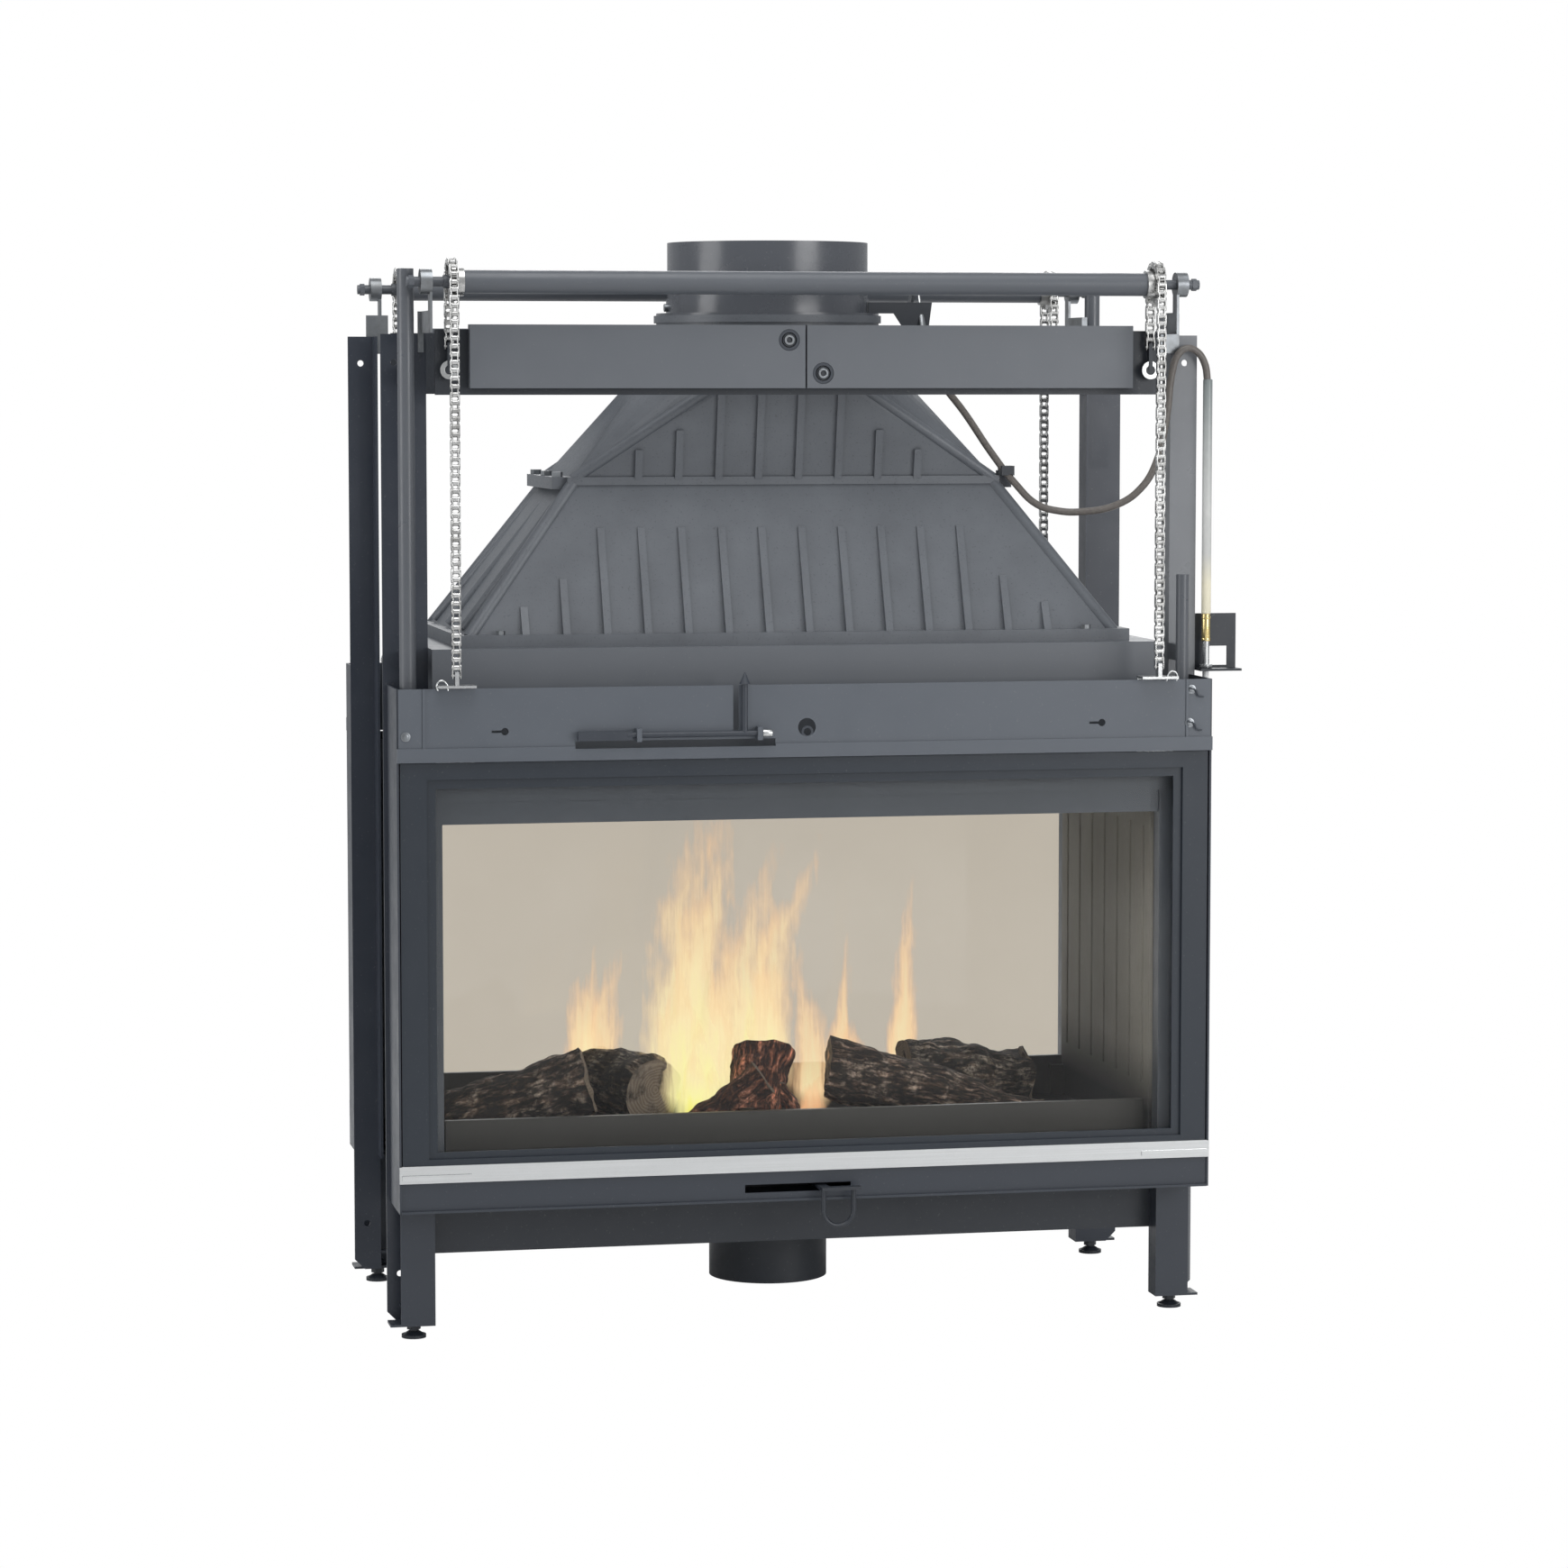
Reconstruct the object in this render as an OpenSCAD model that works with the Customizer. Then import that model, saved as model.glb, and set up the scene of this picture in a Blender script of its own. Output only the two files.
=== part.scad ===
// Double-sided fireplace insert with two lifting glass doors, each hung on two
// roller chains over a cross shaft and balanced by a weight behind the door.
// Origin on the floor under the centre of the firebox, X along the doors, Z up.
// The front side faces -Y. The rear side is the front side turned half a turn.

/* [Door] */
// Height of the steel door frame
door_h = 485; // [440:5:500]
// Depth of the door frame from its face to its back edge
door_t = 22; // [18:1:24]
// Visible width of the door's side stiles
stile_w = 43; // [36:1:56]
// Visible height of the door's top rail
top_rail_h = 31; // [24:1:44]
// Visible height of the door's bottom rail
bottom_rail_h = 15; // [13:1:24]
// Width of the sunk inner step of the frame
step_w = 11; // [8:1:14]
// Thickness of the ceramic glass
glass_t = 4; // [3:0.5:5]
// Height of the bright bar under the door
trim_h = 21; // [16:1:26]

/* [Firebox] */
// Height of the floor clearance under the air box
box_z = 101; // [80:1:120]
// Width of the air box and the firebox casing
box_w = 910; // [860:2:960]
// Depth of the air box
box_d = 360; // [320:4:380]
// Depth of the firebox casing
casing_d = 430; // [420:2:432]
// Height of the door's bottom edge above the floor
door_z = 224; // [210:1:240]
// Thickness of the hearth plate
hearth_t = 12; // [8:1:16]
// Height of the log guards above the hearth plate
guard_h = 52; // [36:2:64]
// Thickness of the side linings
lining_t = 8; // [6:1:9]
// Height of the sheet-metal lintel above the door
lintel_h = 88; // [76:1:100]
// Height of the collar casing that shows above the lintel
seat_h = 44; // [36:1:56]

/* [Hood] */
// Depth of the cast hood at its foot
hood_d = 352; // [330:2:372]
// Width of the cast hood at its joint
joint_w = 538; // [500:2:580]
// Depth of the cast hood at its joint
joint_d = 218; // [200:2:260]
// Height of the lower casting
lower_hood_h = 199; // [180:1:210]
// Height of the upper casting
upper_hood_h = 204; // [180:1:210]
// Wall of the castings
hood_wall = 7; // [5:0.5:9]
// Number of cooling ribs across each face
rib_count = 14; // [10:2:14]
// Distance between the ribs
rib_pitch = 50.3; // [46:0.1:51]
// Width of a rib
rib_w = 9; // [6:0.5:12]
// Sideways shift of the row of ribs
rib_shift = -9; // [-12:1:0]

/* [Flue and air] */
// Outside diameter of the flue collar
flue_d = 252; // [230:1:256]
// Height of the flue collar above the casting
flue_h = 91; // [70:1:110]
// Wall of the flue collar
flue_wall = 4; // [3:0.5:5]
// Outside diameter of the outside-air spigot
duct_d = 150; // [140:1:156]
// Length of the outside-air spigot below the air box
duct_l = 72; // [50:1:74]

/* [Posts] */
// Depth over the corner posts
post_span_y = 352; // [330:2:360]
// Height of the top of the corner posts
post_top = 1220; // [1200:2:1240]
// Width of the broad posts
broad_post_w = 55; // [50:1:55]
// Width of the slim posts
slim_post_w = 34; // [32:1:38]
// Thickness of the post sheet
post_t = 3; // [2:0.5:4]
// Diameter of the fixing holes near the top of the posts
fixing_d = 8; // [6:0.5:10]
// Height of the legs' foot plates above the floor
foot_h = 17; // [15:1:24]

/* [Lift gear] */
// Height of the cross shafts
shaft_z = 1281; // [1278:1:1290]
// Diameter of the cross shafts
shaft_d = 28; // [24:1:30]
// Diameter of the shaft ends
journal_d = 12; // [10:1:16]
// Pitch of the roller chain
pitch = 9.525; // [9.3:0.005:9.6]
// Teeth of each sprocket
teeth = 16; // [15:1:16]
// Height of the balance weights
weight_h = 76; // [60:1:80]
// Thickness of the balance bars
weight_t = 17; // [14:1:17]

/* [Hidden] */

// Colours of the finishes
steel_paint = "#3c4046";
cast_paint = "#45484c";
dark_paint = "#2b2e33";
bright_steel = "#c9cbc8";
chain_steel = "#8b8c8c";
galvanised = "#a5a9ad";

// Gaps between pieces that move past each other
gap = 0.3;
axis_x = -27;
slide_gap = 2;
sheet_t = 2.5;
plate_t = 3;
round_fn = 48;
fine_fn = 96;
pin_fn = 24;

// Heights that follow from the driving sizes
trim_z = door_z - trim_h;
rail_top = trim_z - 1;
hearth_z = rail_top + 1;
hearth_top = hearth_z + hearth_t;
door_top = door_z + door_h;
lintel_z = door_top + 1;
lintel_top = lintel_z + lintel_h;
seat_top = lintel_top + seat_h;
flange_t = 15;
hood_z = seat_top + flange_t;
joint_z = seat_top + lower_hood_h;
neck_z = joint_z + upper_hood_h;
flue_top = neck_z + flue_h;

// Widths that follow from the width of the casing
door_w = box_w + 92;
post_span_x = box_w + 110;
hood_w = box_w - 96;
chain_x = box_w / 2 - 21;

// Depths that follow from the driving sizes, all measured outwards from the middle
door_face = casing_d / 2 + 51;
door_back = door_face - door_t;
frame_face = door_back - 5;
lintel_back = door_face + slide_gap;
surround_x = door_w / 2 + 1.5;
pitch_r = pitch / (2 * sin(180 / teeth));
door_run = lintel_back + 10;
shaft_y = door_run - pitch_r;
weight_run = shaft_y - pitch_r;
weight_face = weight_run + 8.3;
weight_back = weight_face - weight_t;
carrier_t = 3;
post_y = post_span_y / 2;
post_x = post_span_x / 2;

// The origin lies on the floor under the middle of the whole outline, which the bracket
// at the right end widens, so the axis of flue and firebox stands a little left of it
module placed() {
  translate([axis_x, 0, 0]) children();
}

// The rear side is the front side turned about the vertical axis
module rear_side() {
  rotate([0, 0, 180]) children();
}

// A box from its lowest to its highest corner
module span(low, high) {
  translate(low) cube(high - low);
}

// A round bar from one point to another
module bar(from, to, r, fn = 24) {
  d = to - from;
  run = norm(d);
  translate(from) rotate([0, acos(d[2] / run), atan2(d[1], d[0])]) cylinder(r = r, h = run, $fn = fn);
}

// A round bar along Y from y_low to y_high
module bar_y(x, z, y_low, y_high, r, fn = 24) {
  translate([x, y_high, z]) rotate([90, 0, 0]) cylinder(r = r, h = y_high - y_low, $fn = fn);
}

// A round bar along X from x_low to x_high
module bar_x(y, z, x_low, x_high, r, fn = 24) {
  translate([x_low, y, z]) rotate([0, 90, 0]) cylinder(r = r, h = x_high - x_low, $fn = fn);
}

// A flat rectangular ring in the XZ plane between two depths
module ring_plate(half_w, z_low, z_high, in_half_w, in_low, in_high, y_low, y_high) {
  difference() {
    span([-half_w, y_low, z_low], [half_w, y_high, z_high]);
    span([-in_half_w, y_low - 1, in_low], [in_half_w, y_high + 1, in_high]);
  }
}

// Mirrored copies on the left and the right
module both_sides() {
  for (side = [-1, 1]) scale_x(side) children();
}

module scale_x(side) {
  mirror([side < 0 ? 1 : 0, 0, 0]) children();
}

/* Air box, hearth and firebox */

arm_z = rail_top - 22;
arm_t = 4;
arm_w = 12;
arm_angle = 3;
slot_h = 10;
slot_low_x = -82;
slot_high_x = 50;
shutter_holes = 10;
shutter_hole_r = 8;
shutter_hole_ring = 52;
shutter_travel = 180 / shutter_holes;
pivot_r = 6;

module hole_ring(r, height) {
  for (k = [0:shutter_holes - 1])
    rotate(k * 360 / shutter_holes) translate([shutter_hole_ring, 0, 0])
      cylinder(r = r, h = height, center = true, $fn = pin_fn);
}

module base_box() {
  placed() color(dark_paint) difference() {
    union() {
      difference() {
        span([-box_w / 2, -box_d / 2, box_z], [box_w / 2, box_d / 2, hearth_z]);
        span([-box_w / 2 + plate_t, -box_d / 2 + plate_t, box_z + plate_t],
          [box_w / 2 - plate_t, box_d / 2 - plate_t, hearth_z + 1]);
        translate([0, 0, box_z]) hole_ring(shutter_hole_r, 4 * plate_t);
      }
      translate([0, 0, box_z + plate_t / 2]) cylinder(r = pivot_r, h = 14, $fn = round_fn);
    }
    span([slot_low_x + 16, -box_d / 2 - 1, arm_z - 3], [slot_high_x, -box_d / 2 + plate_t + 1,
      arm_z + slot_h - 3]);
  }
}

module air_duct() {
  flange_r = duct_d / 2 + 16;
  placed() color(dark_paint) difference() {
    union() {
      translate([0, 0, box_z - duct_l - plate_t]) cylinder(d = duct_d, h = duct_l + plate_t, $fn = fine_fn);
      translate([0, 0, box_z - plate_t]) cylinder(r = flange_r, h = plate_t, $fn = fine_fn);
    }
    translate([0, 0, box_z - duct_l - 2 * plate_t])
      cylinder(d = duct_d - 2 * sheet_t, h = duct_l + 3 * plate_t, $fn = fine_fn);
  }
}

// Rotary shutter over the air holes, with its arm, tab and pull loop
module air_shutter() {
  disc_r = shutter_hole_ring + 20;
  disc_z = box_z + plate_t + gap;
  reach = door_face + 24;
  loop_r = 19;
  loop_wire = 3;
  placed() color(dark_paint) rotate(arm_angle) {
    difference() {
      union() {
        translate([0, 0, disc_z]) cylinder(r = disc_r, h = plate_t, $fn = fine_fn);
        translate([0, 0, disc_z]) cylinder(r = pivot_r + 6, h = arm_z + arm_t - disc_z, $fn = round_fn);
      }
      translate([0, 0, box_z]) cylinder(r = pivot_r + 0.05, h = 22, $fn = round_fn);
      rotate(-arm_angle) translate([0, 0, disc_z]) hole_ring(shutter_hole_r, 4 * plate_t);
    }
    span([-arm_w / 2, -reach, arm_z], [arm_w / 2, -pivot_r, arm_z + arm_t]);
    span([-arm_w / 2, -reach, arm_z], [arm_w / 2 + 38, -reach + 10, arm_z + arm_t]);
    translate([-arm_w / 2 + loop_wire, -reach + 5, arm_z + arm_t / 2]) {
      for (leg = [0, 2 * loop_r]) translate([leg, 0, -27]) cylinder(r = loop_wire, h = 27, $fn = pin_fn);
      translate([loop_r, 0, -27]) rotate([90, 180, 0]) rotate_extrude(angle = 180, $fn = round_fn)
        translate([loop_r, 0]) circle(r = loop_wire, $fn = pin_fn);
    }
  }
}

module hearth_plate() {
  grate_w = 240;
  grate_d = 120;
  bar_pitch = 20;
  half_w = box_w / 2 - plate_t;
  half_d = casing_d / 2 - plate_t;
  placed() color(cast_paint) difference() {
    span([-half_w, -half_d, hearth_z], [half_w, half_d, hearth_top]);
    for (x = [-grate_w / 2:bar_pitch:grate_w / 2])
      span([x - 4, -grate_d / 2, hearth_z - 1], [x + 4, grate_d / 2, hearth_top + 1]);
  }
}

guard_y = casing_d / 2 - plate_t - 20;

// Cast bar that keeps the logs off the glass
module log_guard() {
  half = box_w / 2 - plate_t - lining_t - 4;
  post_w = 18;
  color(dark_paint) {
    span([-half, -guard_y - 8, hearth_top], [half, -guard_y, hearth_top + guard_h]);
    for (x = [-half, -half / 2, 0, half / 2, half - post_w])
      span([x, -guard_y, hearth_top], [x + post_w, -guard_y + 10, hearth_top + guard_h - 12]);
  }
}

module log_guards() {
  placed() log_guard();
  placed() rear_side() log_guard();
}

lining_x = box_w / 2 - plate_t;
lining_top = lintel_z - 60;

// Refractory side lining with shallow upright flutes
module lining(side) {
  depth = casing_d - 2 * plate_t - 4;
  flutes = 7;
  flute_pitch = (depth - 60) / (flutes - 1);
  color("#6f6558") scale_x(side) difference() {
    span([lining_x - lining_t, -depth / 2, hearth_top], [lining_x, depth / 2, lining_top]);
    for (k = [0:flutes - 1])
      span([lining_x - lining_t - 1, -depth / 2 + 26 + k * flute_pitch, hearth_top + 70],
        [lining_x - lining_t + 2, -depth / 2 + 34 + k * flute_pitch, lining_top - 40]);
  }
}

module left_lining() {
  placed() lining(-1);
}

module right_lining() {
  placed() lining(1);
}

seat_inset = 4;

// Sheet casing: two side walls, the throat above the doors and the seat of the hood
module firebox_casing() {
  half_w = box_w / 2;
  half_d = casing_d / 2;
  throat_z = lining_top;
  placed() color(steel_paint) {
    difference() {
      union() {
        both_sides() span([half_w - plate_t, -half_d, hearth_z], [half_w, half_d, throat_z + 1]);
        difference() {
          span([-half_w, -half_d, throat_z], [half_w, half_d, seat_top]);
          span([-half_w + plate_t, -half_d + plate_t, throat_z - 1], [half_w - plate_t, half_d - plate_t,
            seat_top - plate_t]);
        }
      }
      span([-hood_w / 2 + hood_wall + seat_inset, -hood_d / 2 + hood_wall + seat_inset,
        seat_top - 2 * plate_t],
        [hood_w / 2 - hood_wall - seat_inset, hood_d / 2 - hood_wall - seat_inset, seat_top + 1]);
    }
  }
}

/* Cast smoke hood */

foot_lip = 14;
hood_half_w = hood_w / 2;
hood_half_d = hood_d / 2;
joint_half_w = joint_w / 2;
joint_half_d = joint_d / 2;
neck_r = flue_d / 2 + 14;
joint_plate_t = 10;
shoulder_z = joint_z + 0.78 * upper_hood_h;

// Four leaning walls between two rectangles
module leaning_block(w0, d0, w1, d1, z0, z1) {
  intersection() {
    translate([0, d0 + 1, 0]) rotate([90, 0, 0]) linear_extrude(2 * d0 + 2)
      polygon([[-w0, z0], [w0, z0], [w1, z1], [-w1, z1]]);
    translate([-w0 - 1, 0, 0]) rotate([90, 0, 90]) linear_extrude(2 * w0 + 2)
      polygon([[-d0, z0], [d0, z0], [d1, z1], [-d1, z1]]);
  }
}

// Half width and half depth of the lower casting at a height
function lower_half_w(z) = hood_half_w + (joint_half_w - hood_half_w) * (z - hood_z) / (joint_z - hood_z);
function lower_half_d(z) = hood_half_d + (joint_half_d - hood_half_d) * (z - hood_z) / (joint_z - hood_z);

// Height of the top of each rib of the lower casting, shorter at both ends
function rib_top(k) = hood_z + (min(k, rib_count - 1 - k) == 0 ? 33 : min(k,
  rib_count - 1 - k) == 1 ? 66 : 127);
function rib_x(k) = rib_shift + (k - (rib_count - 1) / 2) * rib_pitch;

// One wedge-shaped rib on the front wall of the lower casting
module lower_rib(k) {
  root_out = 9;
  tip_out = 2.5;
  bury = 3;
  top = rib_top(k);
  translate([rib_x(k) - rib_w / 2, 0, 0]) rotate([90, 0, 90]) linear_extrude(rib_w)
    polygon([[-hood_half_d + bury, hood_z - 1], [-hood_half_d - root_out, hood_z - 1],
      [-lower_half_d(top) - tip_out, top], [-lower_half_d(top) + bury, top]]);
}

// Rounded cast beads along the four leaning corners
module corner_beads(w0, d0, w1, d1, z0, z1, r) {
  for (sx = [-1, 1]) for (sy = [-1, 1])
    bar([sx * w0, sy * d0, z0], [sx * w1, sy * d1, z1], r);
}

// Raised ribs that climb the two end walls
module end_ribs() {
  rib_out = 6;
  rib_y = [-0.45, 0, 0.45];
  for (sx = [-1, 1]) for (f = rib_y)
    bar([sx * (hood_half_w - 1), f * 2 * hood_half_d * 0.8, hood_z + 4],
      [sx * (joint_half_w - 1), f * 2 * joint_half_d * 0.8, joint_z - joint_plate_t], rib_out);
}

module lower_hood() {
  bead_r = 8;
  placed() color(cast_paint) difference() {
    union() {
      leaning_block(hood_half_w, hood_half_d, joint_half_w, joint_half_d, hood_z - 0.01, joint_z);
      span([-hood_half_w - foot_lip, -hood_half_d - foot_lip, seat_top], [hood_half_w + foot_lip,
        hood_half_d + foot_lip, hood_z]);
      span([-joint_half_w - 22, -joint_half_d + 6, joint_z - joint_plate_t], [joint_half_w + 22,
        joint_half_d - 6, joint_z]);
      span([-joint_half_w - 4, -joint_half_d - 4, joint_z - joint_plate_t / 2], [joint_half_w + 4,
        joint_half_d + 4, joint_z]);
      for (k = [0:rib_count - 1]) {
        lower_rib(k);
        rotate([0, 0, 180]) lower_rib(k);
      }
      corner_beads(hood_half_w - 3, hood_half_d - 3, joint_half_w - 3, joint_half_d - 3, hood_z - 4,
        joint_z - 4, bead_r);
      end_ribs();
    }
    leaning_block(hood_half_w - hood_wall, hood_half_d - hood_wall, joint_half_w - hood_wall,
      joint_half_d - hood_wall,
      hood_z - 0.02, joint_z + 0.02);
    span([-hood_half_w + hood_wall, -hood_half_d + hood_wall, seat_top - 1],
      [hood_half_w - hood_wall, hood_half_d - hood_wall, hood_z]);
    span([-hood_half_w, -hood_half_d, joint_z], [hood_half_w, hood_half_d, joint_z + 20]);
  }
}

// Square-to-round casting between the joint and the flue
module square_to_round(half_w, half_d, r, z0, z1) {
  edge = 0.5;
  hull() {
    span([-half_w, -half_d, z0], [half_w, half_d, z0 + edge]);
    translate([0, 0, z1 - edge]) cylinder(r = r, h = edge, $fn = 40);
  }
}

// One upright rib on the front wall of the upper casting
module upper_rib(k) {
  near_end = min(k, rib_count - 1 - k);
  rise = near_end == 3 ? 38 : near_end == 4 ? 62 : 140;
  out = 5;
  bury = 4;
  lean = (neck_r - joint_half_d) / (shoulder_z - joint_z);
  if (near_end >= 3)
    translate([rib_x(k) - rib_w / 2, 0, 0]) rotate([90, 0, 90]) linear_extrude(rib_w)
      polygon([[-joint_half_d + bury, joint_z + 2], [-joint_half_d - out, joint_z + 2],
        [-joint_half_d - out - lean * rise, joint_z + rise], [-joint_half_d + bury - lean * rise,
          joint_z + rise]]);
}

module upper_hood() {
  top_ring = 9;
  bead_r = 7;
  placed() color(cast_paint) difference() {
    union() {
      square_to_round(joint_half_w, joint_half_d, neck_r, joint_z, shoulder_z);
      translate([0, 0, shoulder_z - 1]) cylinder(r = neck_r, h = neck_z - shoulder_z + 1, $fn = fine_fn);
      span([-joint_half_w - 4, -joint_half_d - 4, joint_z], [joint_half_w + 4, joint_half_d + 4,
        joint_z + joint_plate_t / 2]);
      span([-joint_half_w - 22, -joint_half_d + 6, joint_z], [joint_half_w + 22, joint_half_d - 6,
        joint_z + joint_plate_t / 2]);
      translate([0, 0, neck_z - top_ring]) cylinder(r = neck_r + 3, h = top_ring, $fn = fine_fn);
      for (sx = [-1, 1]) for (sy = [-1, 1])
        bar([sx * (joint_half_w - 3), sy * (joint_half_d - 3), joint_z + 2], [sx * 34, sy * (neck_r - 6),
          shoulder_z - 4], bead_r);
      for (k = [0:rib_count - 1]) {
        upper_rib(k);
        rotate([0, 0, 180]) upper_rib(k);
      }
    }
    square_to_round(joint_half_w - hood_wall, joint_half_d - hood_wall, neck_r - hood_wall, joint_z - 0.3,
      shoulder_z);
    span([-joint_w, -joint_d, joint_z - 20], [joint_w, joint_d, joint_z]);
    translate([0, 0, shoulder_z - 1]) cylinder(r = neck_r - hood_wall, h = neck_z - shoulder_z + 2,
      $fn = fine_fn);
  }
}

module hood_bolts() {
  tab_x = joint_half_w + 13;
  placed() color(galvanised) {
    for (sx = [-1, 1]) for (y = [-joint_half_d + 22, 0, joint_half_d - 22])
      translate([sx * tab_x, y, joint_z + joint_plate_t / 2]) cylinder(r = 7, h = 6, $fn = 6);
    for (sx = [-1, 1]) for (sy = [-1, 1])
      translate([sx * (hood_half_w - 40), sy * (hood_half_d + foot_lip / 2), hood_z]) cylinder(r = 5.5,
        h = 5, $fn = 6);
  }
}

damper_z = neck_z + 10;
spindle_r = 5;
damper_travel = 50;
crank_x = flue_d / 2 + 56;
crank_l = 40;
crank_t = 3;
wire_lean = 26.6;
wire_x = crank_x + crank_t + 3;
wire_r = 1.5;
wire_l = 60;
crank_start = 180 - wire_lean - damper_travel / 2;

// A point on the line of the pull wire, at a distance from the crank's pin at rest
function wire_at(run) = [wire_x, crank_l * cos(crank_start) - run * sin(wire_lean),
  damper_z + crank_l * sin(crank_start) - run * cos(wire_lean)];

module flue_collar() {
  inner_r = flue_d / 2 - flue_wall;
  stop_out = 1.5;
  stop_h = 21;
  placed() color(steel_paint) difference() {
    union() {
      translate([0, 0, neck_z]) cylinder(d = flue_d, h = flue_h, $fn = fine_fn);
      translate([0, 0, neck_z]) cylinder(r = flue_d / 2 + stop_out, h = stop_h, $fn = fine_fn);
      translate([0, 0, neck_z]) cylinder(r = neck_r, h = plate_t, $fn = fine_fn);
    }
    translate([0, 0, neck_z - 1]) cylinder(r = inner_r, h = flue_h + 2, $fn = fine_fn);
    bar_x(0, damper_z, -flue_d, flue_d, spindle_r + 0.05, round_fn);
  }
}

// Butterfly damper with its spindle and the crank outside the collar
module flue_damper() {
  flap_r = flue_d / 2 - flue_wall - 14;
  slot = [crank_l - 7, crank_l + 2];
  placed() color(galvanised) {
    translate([0, 0, damper_z - 1.5]) cylinder(r = flap_r, h = 3, $fn = fine_fn);
    bar_x(0, damper_z, -flue_d / 2 - 6, crank_x + crank_t, spindle_r, round_fn);
    translate([crank_x, 0, damper_z]) rotate([crank_start, 0, 0]) difference() {
      span([0, -8, -7], [crank_t, crank_l + 5, 7]);
      span([-1, slot[0], -2.1], [crank_t + 1, slot[1], 2.1]);
    }
  }
}

// Wire that pulls the crank, with the cross pin in the crank's slot
module damper_wire() {
  pin = wire_at(0);
  placed() color(bright_steel) {
    bar(pin, wire_at(wire_l), wire_r, pin_fn);
    bar_x(pin[1], pin[2], crank_x - 2, wire_x, wire_r);
  }
}

/* Corner posts, legs and feet */

// Sheet post: a flange across the corner and a web towards the middle
module post(width, side) {
  web_d = 36;
  hole_inset = 16;
  hole_drop = 34;
  x_out = side * post_x;
  x_in = side * (post_x - width);
  color(steel_paint) difference() {
    union() {
      span([min(x_out, x_in), -post_y, foot_h], [max(x_out, x_in), -post_y + post_t, post_top]);
      span([min(x_in, x_in + side * post_t), -post_y, foot_h + leg_h], [max(x_in, x_in + side * post_t),
        -post_y + web_d, post_top]);
    }
    bar_y(side * (post_x - hole_inset), post_top - hole_drop, -post_y - 1, -post_y + post_t + 1,
      fixing_d / 2);
    bar_y(side * (post_x - hole_inset), foot_h + 60, -post_y - 1, -post_y + post_t + 1, 4);
    translate([side * post_x, -post_y + post_t + 1, foot_h]) rotate([90, 0, 0]) linear_extrude(post_t + 2)
      polygon([[-side * 14, -1], [side, -1], [side, 14]]);
  }
}

module front_left_post() {
  placed() post(broad_post_w, -1);
}

module front_right_post() {
  placed() post(slim_post_w, 1);
}

module rear_left_post() {
  placed() rear_side() post(slim_post_w, 1);
}

module rear_right_post() {
  placed() rear_side() post(broad_post_w, -1);
}

leg_out = 33;
leg_x = post_x - 13;
leg_w = leg_x - box_w / 2;
leg_h = box_z + 65 - foot_h;
foot_x = leg_x - 18;
foot_y = post_y + leg_out - 22;
stud_r = 5;

// Folded leg with a foot plate, open towards its post
module leg(side) {
  face = post_y + leg_out;
  color(steel_paint) scale_x(side) difference() {
    union() {
      span([leg_x - leg_w, -face, foot_h], [leg_x, -face + post_t, foot_h + leg_h]);
      span([leg_x - leg_w, -face, foot_h], [leg_x - leg_w + post_t, -post_y - gap, foot_h + leg_h]);
      span([leg_x - leg_w, -face, foot_h], [leg_x + 13, -post_y - gap, foot_h + post_t]);
      span([leg_x - leg_w, -face, foot_h + leg_h - post_t], [leg_x, -post_y - gap, foot_h + leg_h]);
      span([leg_x - leg_w, -post_y - 10, foot_h + 20], [leg_x - 2, -post_y, foot_h + 20 + post_t]);
    }
    translate([foot_x, -foot_y, foot_h - 1]) cylinder(r = stud_r + 0.4, h = 40, $fn = pin_fn);
  }
}

module front_left_leg() {
  placed() leg(-1);
}

module front_right_leg() {
  placed() leg(1);
}

module rear_left_leg() {
  placed() rear_side() leg(1);
}

module rear_right_leg() {
  placed() rear_side() leg(-1);
}

module levelling_feet() {
  placed() color(dark_paint) for (sx = [-1, 1]) for (sy = [-1, 1]) translate([sx * foot_x, sy * foot_y, 0]) {
    cylinder(r = 15, h = 4, $fn = round_fn);
    translate([0, 0, 4]) cylinder(r1 = 13, r2 = 7, h = 4, $fn = round_fn);
    cylinder(r = stud_r, h = foot_h + 34, $fn = pin_fn);
    translate([0, 0, foot_h - 7]) cylinder(r = 8.5, h = 7, $fn = 6);
    translate([0, 0, foot_h + post_t]) cylinder(r = 8.5, h = 7, $fn = 6);
  }
}

/* Sheet-metal surround, lintel and opening frame */

rail_z = box_z + 65;
surround_back = box_d / 2;
frame_top = lining_top + 50;

module surround() {
  color(steel_paint) difference() {
    union() {
      both_sides() span([surround_x, -lintel_back, rail_z], [surround_x + sheet_t, -post_y - gap,
        lintel_top]);
      span([-surround_x, -door_face, rail_z], [surround_x, -door_face + sheet_t, rail_top]);
      span([-surround_x, -lintel_back - 2, rail_z], [surround_x, -surround_back, rail_z + plate_t]);
      both_sides() span([surround_x - 22, -frame_face, rail_z], [surround_x, -frame_face + plate_t,
        rail_top]);
    }
    span([slot_low_x, -door_face - 1, arm_z - 3], [slot_high_x, -door_face + sheet_t + 1,
      arm_z + slot_h - 3]);
  }
}

module front_surround() {
  placed() surround();
}

module rear_surround() {
  placed() rear_side() surround();
}

lever_x = -84;
lever_y = lintel_back + 9;
lever_rod_r = 3.5;
band_h = 17;
lintel_sheet = 2;
lever_z = lintel_z + band_h + 13;
lever_lugs = [lever_x - 130, lever_x + 18];

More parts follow.
